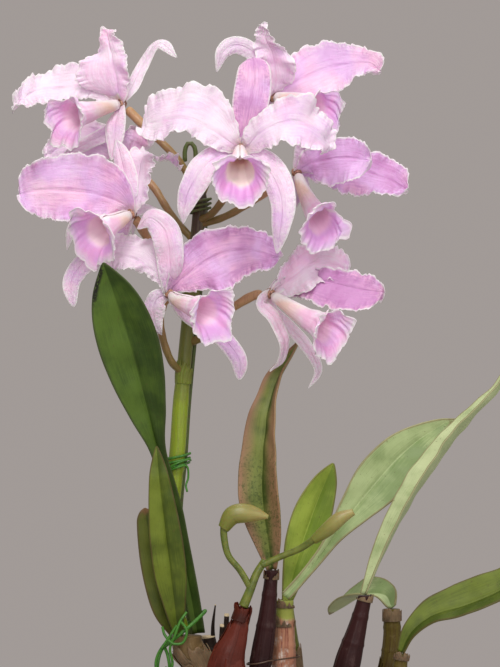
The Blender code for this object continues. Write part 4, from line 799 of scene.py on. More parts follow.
def cells(rows, columns, closed=False):
    """The quads of a grid of points, as rows of point numbers."""
    wide = columns if closed else columns - 1
    row, column = np.meshgrid(np.arange(rows - 1), np.arange(wide), indexing="ij")
    after = (column + 1) % columns
    quads = [row * columns + column, (row + 1) * columns + column, (row + 1) * columns + after,
             row * columns + after]
    return np.stack([corner.ravel() for corner in quads], 1)


def shell(grid, marks, thickness, thin=0.5, edge=2.5):
    """A closed sheet round a grid, thinner towards its margin, with its marks on both faces."""
    rows, columns = grid.shape[:2]
    normals = unit(np.cross(np.gradient(grid, axis=0), np.gradient(grid, axis=1)))
    deep = thickness * (thin + (1 - thin) * (1 - np.exp(-marks["margin"] / edge)))[..., None]
    points = np.concatenate([(grid + normals * deep * side / 2).reshape(-1, 3) for side in (1, -1)])
    below = rows * columns
    quads = cells(rows, columns)
    border = list(range(columns)) + [row * columns + columns - 1 for row in range(1, rows)]
    border += [(rows - 1) * columns + column for column in range(columns - 2, -1, -1)]
    border += [row * columns for row in range(rows - 2, 0, -1)]
    border = np.array(border)
    after = np.roll(border, -1)
    rim = np.stack([border, after, after + below, border + below], 1)
    faces = np.concatenate([quads, quads[:, ::-1] + below, rim])
    both = {name: np.tile(values.ravel(), 2) for name, values in marks.items()}
    both["front"] = np.repeat([0.0, 1.0], below)
    return points, faces, both


def capped(grid, poles):
    """Rings of points, closed at both ends by a pole, as points and faces."""
    rows, sides = grid.shape[:2]
    first = np.arange(sides)
    after, last = (first + 1) % sides, (rows - 1) * sides
    low, high = rows * sides + 0 * first, rows * sides + 1 + 0 * first
    caps = np.concatenate([np.stack([first, after, low], 1), np.stack([after + last, first + last, high], 1)])
    return np.concatenate([grid.reshape(-1, 3), poles]), (cells(rows, sides, True)[:, ::-1], caps)


def tube(path, radii, sides, flatness=1.0, shape=None):
    """A closed tube along a path. The shape, where given, scales its radius by share and by angle."""
    path = np.asarray(path)
    _, across, faces_of = path_frames(path, TUBE_FRONT)
    angles = np.linspace(0, math.tau, sides, endpoint=False)[None, :]
    shares = np.linspace(0, 1, len(path))[:, None]
    reach = np.asarray(radii)[:, None] * (shape(shares, angles) if shape else 1 + 0 * angles)
    grid = path[:, None] + reach[..., None] * (
        np.cos(angles)[..., None] * across[:, None] + flatness * np.sin(angles)[..., None] * faces_of[:, None]
    )
    marks = {
        "along": np.append((shares + 0 * angles).ravel(), (0, 1)),
        "around": np.append((angles / math.tau + 0 * shares).ravel(), (0, 0)),
    }
    return *capped(grid, path[[0, -1]]), marks


def linked(name, data):
    """A new object in the scene."""
    made = bpy.data.objects.new(name, data)
    bpy.context.scene.collection.objects.link(made)
    return made


def mesh_of(name, points, faces, edges=(), marks=None):
    """A mesh from points in millimetres, with a number at each point for each mark."""
    mesh = bpy.data.meshes.new(name)
    mesh.from_pydata((np.asarray(points) * MM).tolist(), edges, faces)
    for key, values in (marks or {}).items():
        mesh.attributes.new(key, "FLOAT", "POINT").data.foreach_set("value", values)
    return mesh


def face_outward(mesh):
    turned_out = bmesh.new()
    turned_out.from_mesh(mesh)
    bmesh.ops.recalc_face_normals(turned_out, faces=turned_out.faces)
    turned_out.to_mesh(mesh)
    turned_out.free()


def piece(name, shapes, finishes, nodes):
    """One object of the plant from its shapes, each with the number of its finish, in place of CAD nodes."""
    points, faces, kinds, start = [], [], [], 0
    names = sorted({key for shape in shapes for key in shape[2]})
    marks = {key: [] for key in names}
    for corners, quads, values, kind in shapes:
        points.append(corners)
        for group in quads if isinstance(quads, tuple) else (quads,):
            faces += (group + start).tolist()
            kinds += [kind] * len(group)
        for key in names:
            marks[key].append(values.get(key, np.zeros(len(corners))))
        start += len(corners)
    joined = {key: np.concatenate(values) for key, values in marks.items()}
    mesh = mesh_of(name, np.concatenate(points), faces, marks=joined)
    for finish in finishes:
        mesh.materials.append(finish)
    mesh.polygons.foreach_set("material_index", kinds)
    face_outward(mesh)
    mesh.shade_smooth()
    return placed(linked(name, mesh), nodes)


def placed(made, nodes):
    """A finished object on its body, in place of the CAD nodes named."""
    made.name = "fine_" + made.name.replace(" ", "_").partition(".")[0]
    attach(made, "root")
    if nodes:
        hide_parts(*nodes)
    return made


def put_node(tree, kind, settings, inputs):
    """A new node of a tree, each of its inputs linked to a socket or set to a value."""
    made = tree.nodes.new(kind)
    for key, value in settings.items():
        setattr(made, key, value)
    for key, value in inputs.items():
        if isinstance(value, bpy.types.NodeSocket):
            tree.links.new(value, made.inputs[key])
        else:
            made.inputs[key].default_value = value
    return made


class Value:
    """A number inside a finish, on which the usual signs work."""

    def __init__(self, finish, socket):
        self.finish, self.socket = finish, socket

    def joined(self, operation, first, second):
        return self.finish.node("ShaderNodeMath", {"operation": operation}, {0: first, 1: second}, 0)

    def __add__(self, other):
        return self.joined("ADD", self, other)

    def __sub__(self, other):
        return self.joined("SUBTRACT", self, other)

    def __rsub__(self, other):
        return self.joined("SUBTRACT", other, self)

    def __mul__(self, other):
        return self.joined("MULTIPLY", self, other)

    __radd__, __rmul__ = __add__, __mul__


class Finish:
    """A material that is written as sums of what its surface carries."""

    def __init__(self, name, **settings):
        self.material = bpy.data.materials.new(name)
        self.material.use_nodes = True
        self.tree = self.material.node_tree
        self.shader = self.tree.nodes["Principled BSDF"]
        for socket, value in settings.items():
            self.shader.inputs[socket.replace("_", " ").title().replace("Ior", "IOR")].default_value = value

    def node(self, kind, settings, inputs, output):
        plain = {key: value.socket if isinstance(value, Value) else value for key, value in inputs.items()}
        return Value(self, put_node(self.tree, kind, settings, plain).outputs[output])

    def mark(self, name):
        return self.node("ShaderNodeAttribute", {"attribute_name": name}, {}, "Fac")

    def marks(self, *names):
        return [self.mark(name) for name in names]

    def place(self):
        """The place on the object, in millimetres."""
        where = self.node("ShaderNodeTexCoord", {}, {}, "Object")
        return self.node("ShaderNodeVectorMath", {"operation": "SCALE"}, {0: where, "Scale": 1 / MM}, 0)

    def height(self):
        return self.node("ShaderNodeSeparateXYZ", {}, {0: self.place()}, 2)

    def stretched(self, place, scale):
        return self.node("ShaderNodeMapping", {}, {"Vector": place, "Scale": scale}, 0)

    def together(self, x, y):
        return self.node("ShaderNodeCombineXYZ", {}, {0: x, 1: y}, 0)

    def noise(self, vector, scale, detail=3.0, roughness=0.55):
        inputs = {"Vector": vector, "Scale": scale, "Detail": detail, "Roughness": roughness}
        return self.node("ShaderNodeTexNoise", {}, inputs, 0)

    def sine(self, value):
        return self.node("ShaderNodeMath", {"operation": "SINE"}, {0: value}, 0)

    def size(self, value):
        return self.node("ShaderNodeMath", {"operation": "ABSOLUTE"}, {0: value}, 0)

    def ramp(self, value, low, high):
        """0 below low and 1 above high, with a smooth rise between."""
        settings = {"interpolation_type": "SMOOTHSTEP"}
        return self.node("ShaderNodeMapRange", settings, {0: value, 1: low, 2: high}, 0)

    def fall(self, value, low, high):
        """1 below low and 0 above high."""
        return 1.0 - self.ramp(value, low, high)

    def mix(self, factor, first, second):
        inputs = {0: factor}
        for key, colour in ((6, first), (7, second)):
            inputs[key] = colour if isinstance(colour, Value) else (*colour, 1)
        return self.node("ShaderNodeMix", {"data_type": "RGBA"}, inputs, 2)

    def laid(self, colour, other, value, low, high, strength=None):
        """A colour, with another laid over it where a value is high."""
        there = self.ramp(value, low, high)
        return self.mix(there if strength is None else there * strength, colour, other)

    def set(self, socket, value):
        self.tree.links.new(value.socket, self.shader.inputs[socket])

    def colour(self, value):
        self.set("Base Color", value)

    def relief(self, height, distance, strength):
        inputs = {"Strength": strength, "Distance": distance * MM, "Height": height}
        self.set("Normal", self.node("ShaderNodeBump", {}, inputs, "Normal"))


def flesh(name, roughness):
    """The start of a finish for something thin that light passes into."""
    finish = Finish(name, roughness=roughness, subsurface_weight=0.4, subsurface_scale=0.0025)
    finish.shader.inputs["Subsurface Radius"].default_value = (1.0, 0.62, 0.9)
    return finish


def wrinkles(finish, across, margin, reach):
    """Veins that fan out along a petal, finer lines between them, and short folds across its margin."""
    fan = finish.together(across * 9.0 - across * reach * 0.02, reach * 0.045)
    veins = finish.noise(fan, 1.7, 4.0, 0.6)
    fine = finish.noise(finish.together(across * 52.0, reach * 0.12), 1.0, 2.0)
    folds = finish.noise(finish.together(reach * 0.55, across * 2.5), 1.0, 3.0)
    return veins, fine, folds * finish.fall(margin, 1.0, 9.0)


def petal_finish():
    finish = flesh("petal", 0.5)
    along, across, margin, flush, front, reach = finish.marks(
        "along", "across", "margin", "flush", "front", "reach")
    veins, fine, folds = wrinkles(finish, across, margin, reach)
    place = finish.place()
    cloud, hue = finish.noise(place, 0.06, 3.0), finish.noise(place, 0.045, 2.0)
    crinkle = finish.noise(finish.together(reach * 0.42, across * 4.0), 1.0, 3.0, 0.6)
    buckles = finish.noise(finish.together(across * 3.2, reach * 0.07), 1.0, 3.0, 0.55)
    rim = finish.fall(margin + (fine - 0.5) * 0.8, 0.3, 1.5)
    pale_rim = finish.fall(margin, 0.8, 7.0) * finish.ramp(crinkle, 0.3, 0.62)
    midrib = finish.fall(finish.size(across), 0.0, 0.1)
    # The tone mixes the petal's own clouds, veins, midrib and folds with its flush, which is partly painted
    # shade
    tone = flush * 0.75 + (cloud - 0.5) * 1.5 + (veins - 0.5) * 0.75 + midrib * 0.12 + (folds - 0.25) * 0.35
    tone = tone - pale_rim * 0.45 - (1.0 - front) * 0.04
    base = finish.laid(PETAL_BASE, PETAL_PALE, along, 0.0, 0.14)
    tint = finish.laid(PETAL_ROSE, PETAL_LILAC, hue - finish.mark("rosy") * 0.3, 0.2, 0.46)
    colour = finish.laid(base, tint, tone, -0.15, 0.75)
    # Where the tone is highest the deepest colour is laid on: partly the petal's own deep mauve and partly
    # painted shade
    colour = finish.laid(colour, PETAL_DEEP_AND_SHADE, tone, 0.62, 1.3)
    finish.colour(finish.mix(rim * 0.85, colour, PETAL_RIM))
    finish.set("Roughness", 0.44 + fine * 0.16)
    finish.relief(
        veins * 0.6 + fine * 0.25 - midrib * 0.5 + folds * 1.4 + crinkle * 0.5 + buckles * 1.6, 1.0, 0.7)
    return finish.material


def lip_finish():
    finish = flesh("lip", 0.45)
    along, across, margin, front, reach, rosy, cream = finish.marks(
        "along", "across", "margin", "front", "reach", "rosy", "cream")
    veins, fine, folds = wrinkles(finish, across, margin, reach)
    cloud = finish.noise(finish.place(), 0.09, 2.0)
    rim = finish.fall(margin + (fine - 0.5) * 0.8, 0.25, 1.3)
    low = finish.fall(finish.size(across), 0.25, 0.95)
    pale = finish.laid(PETAL_PALE, PETAL_ROSE, cloud + (veins - 0.5) * 0.3, 0.35, 0.65)
    lilac = finish.laid(LIP_LILAC, pale, cloud + rosy * 0.3, 0.5, 0.9)
    deep = along + (cloud - 0.5) * 0.12 - low * 0.1 + 0.05
    ring = finish.ramp(deep, 0.5, 0.66) * finish.fall(deep, 0.7, 0.95)
    throat = finish.laid(LIP_AMBER, finish.mix(cream, LIP_HEART, LIP_CREAM), along, 0.12, 0.36)
    within = finish.laid(throat, lilac, deep, 0.5, 0.64)
    within = finish.mix(ring * (0.2 + low * 0.2 + cream * 0.25), within, LIP_MAGENTA)
    within = finish.laid(within, PETAL_PALE, along + (cloud - 0.5) * 0.2, 0.8, 1.0, 0.6)
    outside = finish.laid(LIP_PEACH, pale, along + (cloud - 0.5) * 0.3, 0.05, 0.45)
    outside = finish.laid(outside, PETAL_LILAC, along + (veins - 0.5) * 0.5, 0.72, 0.95, 0.6)
    finish.colour(finish.mix(rim * 0.8, finish.mix(front, outside, within), PETAL_RIM))
    finish.set("Roughness", 0.42 + fine * 0.15)
    finish.relief(veins * 0.5 + fine * 0.2 + folds * 1.2, 0.8, 0.7)
    return finish.material


def column_finish():
    finish = flesh("column", 0.4)
    finish.colour(finish.laid(LIP_CREAM, PETAL_RIM, finish.mark("along"), 0.3, 0.95))
    return finish.material


def heart_finish():
    """Where petals and stalk meet: fleshy pink, with brown in it."""
    finish = flesh("heart", 0.5)
    spots = finish.noise(finish.place(), 0.6)
    finish.colour(finish.laid((0.12, 0.035, 0.02), (0.55, 0.3, 0.2), spots, 0.35, 0.65))
    return finish.material


def leaf_finish(name, dark, light, edge, edge_width=1.2, dry=0.0):
    """A leathery leaf: two greens, one half painted lighter and the other darker as painted light and shade on
    the fold, a keel painted paler as its own pale midrib and a painted highlight along it, a coloured edge
    and, where dry, a brown tip.
    """
    finish = Finish(name, roughness=0.42, specular_ior_level=0.3)
    along, across, margin, front, reach = finish.marks("along", "across", "margin", "front", "reach")
    place = finish.place()
    cloud = finish.noise(place, 0.06, 3.0)
    fibres = finish.noise(finish.together(across * 30.0, reach * 0.05), 1.0, 3.0)
    specks = finish.noise(place, 0.55, 4.0, 0.7)
    half = finish.ramp(across, -0.12, 0.12)
    # One half is painted lighter than the other: painted light and shade on the two sides of the fold
    tone = (cloud - 0.5) * 1.8 + (fibres - 0.5) * 0.9 + 0.28 + (1.0 - half) * 0.5 - (1.0 - along) * 0.1
    # The keel is painted paler: partly the leaf's own pale midrib and partly a painted highlight along it
    keel = finish.fall(finish.size(across), 0.01, 0.055)
    colour = finish.mix(keel * 0.6, finish.laid(dark, light, tone, 0.0, 1.0), light)
    colour = finish.laid(colour, SPECK_BROWN, specks, 0.62, 0.7, 0.55)
    border = finish.fall(margin + (cloud - 0.5) * edge_width, edge_width * 0.3, edge_width)
    colour = finish.mix(border * 0.65, colour, edge)
    if name == "ruddy leaf":
        outward = finish.size(across) + half * 0.2 + (cloud - 0.5) * 0.6
        colour = finish.laid(colour, edge, outward, 0.3, 0.95, 0.8)
        blotches = finish.ramp(specks + (fibres - 0.5) * 0.5, 0.5, 0.62) * finish.fall(along, 0.35, 0.6)
        colour = finish.mix(blotches * 0.65, colour, dark)
    if name == "leaf":
        scarred = finish.ramp(along, 0.9, 0.93) * (1.0 - half) * finish.fall(margin, 1.5, 4.0)
        colour = finish.mix(scarred * finish.ramp(specks + cloud * 0.3, 0.56, 0.62), colour, SCAR_BLACK)
    if dry:
        browned = along + (cloud - 0.5) * 0.35
        colour = finish.laid(colour, finish.mix(cloud, *DRY_BROWNS), browned, 1.0 - dry, 1.06 - dry)
    finish.colour(finish.mix((1.0 - front) * 0.35, colour, light))
    finish.set("Roughness", 0.36 + cloud * 0.2 + specks * 0.08)
    finish.relief(fibres * 0.5 + cloud * 0.5 - keel * 0.5, 0.35, 0.5)
    return finish.material


def bulb_finish(name, low, high, streak, streaks=0.5, dry=(0.45, 0.36, 0.24), worn=0.2, gloss=0.14):
    """A bulb's skin: a colour that changes with height, streaked, and worn to a dry one in patches."""
    finish = Finish(name, roughness=0.5, specular_ior_level=gloss)
    along, around = finish.marks("along", "around")
    place = finish.place()
    lines = finish.noise(finish.together(around * 44.0, along * 2.0), 1.0, 4.0, 0.7)
    cloud, fine = finish.noise(place, 0.13, 4.0, 0.6), finish.noise(place, 0.8, 4.0)
    colour = finish.laid(low, high, along + (cloud - 0.5) * 0.5, 0.1, 0.9)
    colour = finish.laid(colour, streak, lines, 0.5, 0.66, streaks)
    colour = finish.laid(colour, dry, cloud + (lines - 0.5) * 0.4, 0.62 - worn * 0.2, 0.7)
    colour = finish.mix(fine * 0.25, colour, BULB_DIRT)
    if name == "striped bulb":
        colour = finish.laid(colour, YOUNG_GREEN, along + (cloud - 0.5) * 0.1, 0.84, 0.88)
    if name == "cut stump":
        colour = finish.laid(colour, CUT_WOOD, along, 0.975, 0.985)
    finish.colour(colour)
    finish.set("Roughness", 0.2 + cloud * 0.35)
    finish.relief(lines * 0.7 + fine * 0.3, 0.5, 0.7)
    return finish.material


def paper_finish(name, pale, dark):
    """A dry sheath: fibres, stains and a darker base."""
    finish = Finish(name, roughness=0.75, subsurface_weight=0.15, subsurface_scale=0.001)
    along, around = finish.marks("along", "around")
    fibres = finish.noise(finish.together(around * 90.0, along * 2.5), 1.0, 4.0, 0.7)
    cloud = finish.noise(finish.place(), 0.16, 4.0)
    finish.colour(finish.laid(pale, dark, fibres * 0.6 + cloud * 0.7 - along * 0.15, 0.42, 0.85))
    finish.relief(fibres, 0.5, 0.8)
    return finish.material


def stem_finish():
    """The flower stem: yellow-green low down, browner and redder up to the flowers."""
    finish = Finish("stem", roughness=0.42, subsurface_weight=0.1, subsurface_scale=0.002)
    height, kind, along = finish.height(), finish.mark("kind"), finish.mark("along")
    place = finish.place()
    cloud, fine = finish.noise(place, 0.12, 4.0), finish.noise(place, 0.9, 3.0)
    lines = finish.noise(finish.stretched(place, (1, 1, 0.06)), 0.9, 3.0)
    up = height + (cloud - 0.5) * 50.0
    main = finish.laid((0.25, 0.34, 0.016), (0.145, 0.165, 0.03), up, 318.0, 362.0)
    main = finish.laid(main, (0.05, 0.03, 0.014), up, 385.0, 440.0)
    main = finish.laid(main, (0.2, 0.2, 0.05), lines, 0.45, 0.7, 0.4)
    stalks = finish.laid((0.2, 0.15, 0.035), (0.46, 0.27, 0.13), along + (cloud - 0.5) * 0.4, 0.15, 0.85)
    stalks = finish.laid(stalks, (0.24, 0.09, 0.07), lines, 0.5, 0.72, 0.45)
    finish.colour(finish.laid(finish.mix(kind, main, stalks), (0.06, 0.035, 0.02), fine, 0.6, 0.75, 0.4))
    finish.relief(lines * 0.6 + fine * 0.4, 0.3, 0.6)
    return finish.material


def bud_finish():
    finish = Finish("bud", roughness=0.4, subsurface_weight=0.2, subsurface_scale=0.002)
    along, kind, around = finish.marks("along", "kind", "around")
    cloud = finish.noise(finish.place(), 0.2, 3.0)
    lines = finish.noise(finish.together(around * 26.0, along * 2.0), 1.0, 3.0)
    stalks = finish.laid((0.17, 0.2, 0.03), (0.09, 0.12, 0.016), cloud, 0.35, 0.7)
    pods = finish.laid((0.18, 0.2, 0.03), (0.36, 0.31, 0.1), along + (cloud - 0.5) * 0.4, 0.0, 1.0)
    pods = finish.laid(pods, (0.2, 0.12, 0.06), lines, 0.5, 0.7, 0.35)
    finish.colour(finish.mix(kind, stalks, pods))
    finish.relief(lines * 0.7 + cloud * 0.3, 0.3, 0.5)
    return finish.material


def root_finish():
    """Roots: chalky skin that has worn off in places, with greener tips, and a brown rhizome."""
    finish = Finish("root", roughness=0.8)
    along, kind = finish.marks("along", "kind")
    place = finish.place()
    cloud, fine = finish.noise(place, 0.14, 4.0), finish.noise(place, 1.1, 4.0, 0.7)
    roots = finish.laid((0.5, 0.48, 0.42), (0.27, 0.23, 0.16), cloud, 0.42, 0.62)
    roots = finish.laid(roots, (0.2, 0.3, 0.08), along, 0.9, 0.98)
    wood = finish.laid((0.06, 0.035, 0.02), (0.2, 0.13, 0.07), fine * 0.5 + cloud * 0.5, 0.35, 0.65)
    finish.colour(finish.mix(kind, wood, roots))
    finish.relief(fine * 0.7 + cloud * 0.3, 0.6, 0.8)
    return finish.material


def wire_finish(name, colour, worn):
    finish = Finish(name, roughness=0.5)
    spots = finish.noise(finish.place(), 0.5, 4.0, 0.65)
    finish.colour(finish.laid(colour, worn, spots, 0.5, 0.66))
    finish.set("Roughness", 0.35 + spots * 0.3)
    finish.relief(spots, 0.15, 0.5)
    return finish.material


def clay_finish():
    """Fired clay with turning lines, pale salt blooms and a damp, greener foot."""
    finish = Finish("clay", roughness=0.82)
    place, height = finish.place(), finish.height()
    cloud, grain = finish.noise(place, 0.02, 5.0, 0.6), finish.noise(place, 0.55, 5.0, 0.7)
    lines = finish.sine(height * 2.1 + cloud * 7.0)
    colour = finish.laid((0.36, 0.13, 0.065), (0.5, 0.21, 0.115), cloud, 0.3, 0.7)
    salt = finish.ramp(cloud * 0.6 + grain * 0.5 - height * 0.0006, 0.56, 0.72)
    colour = finish.mix(salt * 0.55, colour, (0.66, 0.55, 0.46))
    damp = finish.fall(height + cloud * 40.0, 18.0, 60.0)
    colour = finish.mix(damp * 0.5, colour, (0.17, 0.12, 0.06))
    finish.colour(finish.laid(colour, (0.16, 0.06, 0.035), grain, 0.62, 0.75, 0.35))
    finish.set("Roughness", 0.7 + grain * 0.25)
    finish.relief(grain * 0.7 + lines * 0.12 + salt * 0.2, 0.5, 0.6)
    return finish.material


def bark_finish():
    """Chips of pine bark, each of its own brown, with layers and grey dust."""
    finish = Finish("bark", roughness=0.88)
    place, own = finish.place(), finish.mark("own_tone")
    layers = finish.noise(finish.stretched(place, (0.25, 0.7, 1.2)), 0.9, 4.0, 0.7)
    cloud = finish.noise(place, 0.3, 3.0)
    colour = finish.mix(own, (0.045, 0.024, 0.014), (0.21, 0.115, 0.06))
    colour = finish.laid(colour, (0.3, 0.18, 0.1), layers, 0.45, 0.7, 0.6)
    finish.colour(finish.laid(colour, (0.34, 0.3, 0.25), cloud, 0.58, 0.75, 0.4))
    finish.relief(layers, 0.9, 0.9)
    return finish.material


def ground_finish():
    finish = Finish("studio ground", roughness=0.9)
    finish.shader.inputs["Base Color"].default_value = (*GROUND, 1)
    return finish.material


class Tree:
    """A geometry node tree with named inputs, written from its first node to its last."""

    def __init__(self, name, inputs):
        self.group = bpy.data.node_groups.new(name, "GeometryNodeTree")
        for label, kind in (("Geometry", "NodeSocketGeometry"), *inputs):
            self.group.interface.new_socket(label, in_out="INPUT", socket_type=kind)
        self.group.interface.new_socket("Geometry", in_out="OUTPUT", socket_type="NodeSocketGeometry")
        self.given = self.group.nodes.new("NodeGroupInput").outputs
        self.result = self.group.nodes.new("NodeGroupOutput").inputs[0]

    def node(self, kind, inputs, output=0, **settings):
        return put_node(self.group, kind, settings, inputs).outputs[output]

    def finish(self, geometry, finish):
        """The tree, whose last node gives a finish to what it made."""
        inputs = {"Geometry": geometry, "Material": finish}
        self.group.links.new(self.node("GeometryNodeSetMaterial", inputs), self.result)
        return self.group


def path_tree():
    """Round stems along the edges of a mesh, as thick at each point as the point says."""
    tree = Tree("stems along paths", [("Sides", "NodeSocketInt"), ("Finish", "NodeSocketMaterial")])
    given = tree.given
    curve = tree.node("GeometryNodeMeshToCurve", {"Mesh": given["Geometry"]})
    thick = tree.node("GeometryNodeInputNamedAttribute", {"Name": "thick"}, data_type="FLOAT")
    circle = tree.node("GeometryNodeCurvePrimitiveCircle", {"Resolution": given["Sides"], "Radius": MM})
    grown_round = tree.node("GeometryNodeCurveToMesh", {
        "Curve": curve, "Profile Curve": circle, "Scale": thick, "Fill Caps": True})
    return tree.finish(tree.node("GeometryNodeSetShadeSmooth", {0: grown_round}), given["Finish"])


def scatter_tree():
    """Chips strewn over a surface, each picked, turned, sized and toned at random."""
    tree = Tree("chips over a surface", [
        ("Chips", "NodeSocketCollection"), ("Spacing", "NodeSocketFloat"), ("Density", "NodeSocketFloat"),
        ("Smallest", "NodeSocketFloat"), ("Largest", "NodeSocketFloat"), ("Seed", "NodeSocketInt"),
        ("Finish", "NodeSocketMaterial")])
    given = tree.given
    points = tree.node("GeometryNodeDistributePointsOnFaces", {
        "Mesh": given["Geometry"], "Distance Min": given["Spacing"], "Density Max": given["Density"],
        "Seed": given["Seed"]}, distribute_method="POISSON")
    chips = tree.node("GeometryNodeCollectionInfo", {
        "Collection": given["Chips"], "Separate Children": True, "Reset Children": True})
    chance = "FunctionNodeRandomValue"
    least, most = (-CHIP_TILT, -CHIP_TILT, 0), (CHIP_TILT, CHIP_TILT, math.tau)
    turn = tree.node(chance, {0: least, 1: most, "Seed": 3}, data_type="FLOAT_VECTOR")
    grow = tree.node(chance, {2: given["Smallest"], 3: given["Largest"], "Seed": 4}, 1, data_type="FLOAT")
    tone = tree.node(chance, {2: 0.0, 3: 1.0, "Seed": 5}, 1, data_type="FLOAT")
    strewn = tree.node("GeometryNodeInstanceOnPoints", {
        "Points": points, "Instance": chips, "Pick Instance": True, "Rotation": turn, "Scale": grow})
    toned = tree.node("GeometryNodeStoreNamedAttribute", {
        "Geometry": strewn, "Name": "own_tone", "Value": tone}, data_type="FLOAT", domain="INSTANCE")
    return tree.finish(tree.node("GeometryNodeRealizeInstances", {0: toned}), given["Finish"])


def grown(source, group, values, name):
    """A plain object with the mesh that a node tree makes of another object, which goes."""
    modifier = source.modifiers.new("grow", "NODES")
    modifier.node_group = group
    sockets = {item.name: item.identifier for item in group.interface.items_tree if item.in_out == "INPUT"}
    for key, value in values.items():
        modifier[sockets[key]] = value
    graph = bpy.context.evaluated_depsgraph_get()
    mesh = bpy.data.meshes.new_from_object(source.evaluated_get(graph), depsgraph=graph)
    mesh.name = name
    bpy.data.objects.remove(source)
    return linked(name, mesh)


def stems(name, lines, finish, nodes, sides):
    """Stems along paths. Each is its points, their radii in millimetres and its kind."""
    points, edges, marks = [], [], {"thick": [], "along": [], "kind": []}
    for path, radii, kind in lines:
        path, radii = np.asarray(path), np.asarray(radii, float)
        inner = path[0] + (path[1] - path[0]) * CAP_SHARE, path[-1] + (path[-2] - path[-1]) * CAP_SHARE
        path = np.vstack([path[0], inner[0], path[1:-1], inner[1], path[-1]])
        radii = np.concatenate([[radii[0] * 0.5], radii[:1], radii[1:-1], radii[-1:], [radii[-1] * 0.5]])
        edges += [(len(points) + step, len(points) + step + 1) for step in range(len(path) - 1)]
        points += path.tolist()
        marks["thick"] += radii.tolist()
        marks["along"] += np.linspace(0, 1, len(path)).tolist()
        marks["kind"] += [float(kind)] * len(path)
    source = linked(name + " paths", mesh_of(name, points, [], edges, marks))
    return placed(grown(source, TREES["path"], {"Sides": sides, "Finish": finish}, name), nodes)


def ball(centre, radius):
    shape = bmesh.new()
    bmesh.ops.create_icosphere(shape, subdivisions=3, radius=radius)
    points = np.array([vertex.co for vertex in shape.verts]) + centre
    faces = np.array([[vertex.index for vertex in face.verts] for face in shape.faces])
    shape.free()
    return points, faces, {}


def flower(key, bloom, seed, finishes):
    """A flower in two pieces: its petals, sepals, heart and column, and its lip."""
    heart = seen(bloom.heart)
    lip_line = seen_line(bloom.lip)
    out = unit(lip_line[0] - heart)
    base = heart + out * HEART_RADIUS * TEPAL_BASE
    shapes = [(*ball(heart, HEART_RADIUS * HEART_SHARE), 1)]
    for number, blade in enumerate(bloom.tepals):
        size = PETAL_GRID if blade.frill > 0.5 else SEPAL_GRID
        grid, marks = blade_surface(blade, [base], size, seed + 11 * number, out)
        marks["rosy"] = np.full(size, bloom.rosy)
        shapes.append((*shell(grid, marks, PETAL_THICKNESS), 0))
    path = smooth_path([heart, *lip_line], 49)[:COLUMN_POINTS]
    radii = np.interp(np.linspace(0, 4, COLUMN_POINTS), range(5), COLUMN_RADII)
    shapes.append((*tube(path, radii, 20), 2))
    piece(f"flower {key}", shapes, [finishes[kind] for kind in ("petal", "heart", "column")],
          [f"bloom_{key}"])
    grid, marks = lip_surface(bloom, seed + 7)
    marks.update(rosy=np.full(LIP_GRID, bloom.rosy), cream=np.full(LIP_GRID, bloom.cream))
    piece(f"lip {key}", [(*shell(grid, marks, LIP_THICKNESS), 0)], [finishes["lip"]],
          [f"bloom_{key}_lip"])


def stalk(bloom):
    """The path and the radii of a flower's stalk, which thickens into its ovary."""
    heart = seen(bloom.heart)
    line = seen_line(bloom.stalk)
    end = heart + unit(line[-1] - heart) * (HEART_RADIUS + SEAT_GAP)
    path = smooth_path([*line, end], STALK_POINTS)
    ovary = 1 - OVARY_LENGTH / walked(path).sum()
    shares = np.linspace(0, 1, STALK_POINTS)
    radii = np.interp(shares, (0, 0.12, ovary, ovary + 0.14, 0.97, 1),
                      (2.6, 2.2, PEDICEL_RADIUS, OVARY_RADIUS, OVARY_RADIUS, 2.0))
    return path, radii + 0.08 * np.sin(shares * 40), 1


def flower_stem(finishes):
    scape = smooth_path(seen_line(SCAPE), 150)
    radii = softened(np.where(scape[:, 2] < SHEATH_TOP, SHEATH_RADIUS, STEM_RADIUS).astype(float), 4)
    for x, z in STEM_JOINTS:
        radii += JOINT_SWELLING * bell(scape[:, 2] - seen((x, z, 0))[2], 1.8)
    radii[:5] = np.linspace(SCAPE_FOOT_RADIUS, radii[5], 5)
    radii[-5:] = np.linspace(radii[-6], SCAPE_TIP_RADIUS, 5)
    lines = [(scape, radii, 0), *[stalk(bloom) for bloom in BLOOMS.values()]]
    stems("flower stem", lines, finishes["stem"], ["flower_stem"], 28)
    shapes = []
    for number, (x, z) in enumerate(BRACTS):
        base = seen((x, z, 0))
        path = smooth_path([base + (0, 0, -3), base + (0.6, 0, 4), base + (2.4, 0, 11)], 30)
        radii = np.linspace(4.9, 6.0, 30)
        shapes.append((*sheath(path, radii, 200 + number, 0.35, opening=2.6, start=BRACT_TURN), 0))
    piece("stem bracts", shapes, [finishes["stem"]], [])


def sheath(path, radii, seed, torn, opening=0.5, flat=1.0, start=None):
    """A dry skin round a path: open along one side, with a torn upper edge."""
    chance = np.random.default_rng(seed)
    rows, columns = SHEATH_GRID
    _, sides, faces = path_frames(path, TUBE_FRONT)
    start = chance.uniform(0, math.tau) if start is None else start
    across = np.linspace(-1, 1, columns)[None, :]
    angles = start + across * (math.pi - opening / 2)
    tears = (np.sin(across * 9 + start) + 0.6 * np.sin(across * 23 + 2 * start)) ** 2
    ragged = 1 - torn * np.abs(across) ** 1.5 - torn * 0.35 * tears
    shares = np.linspace(0, 1, rows)[:, None] * np.clip(ragged, 0.15, 1)
    steps = np.linspace(0, 1, len(path))
    centre, side, face = (read_at(values, steps, shares) for values in (path, sides, faces))
    reach = np.interp(shares, steps, radii)
    reach = reach + 0.5 * shares**2 * np.sin(angles * 5 + start) + 0.15 * np.sin(angles * 17 + shares * 3)
    outward = np.cos(angles)[..., None] * side + flat * np.sin(angles)[..., None] * face
    none = np.zeros(SHEATH_GRID)
    marks = {"along": shares, "around": angles / math.tau + none, "margin": none + 9}
    return shell(centre + reach[..., None] * outward, marks, SKIN_THICKNESS)


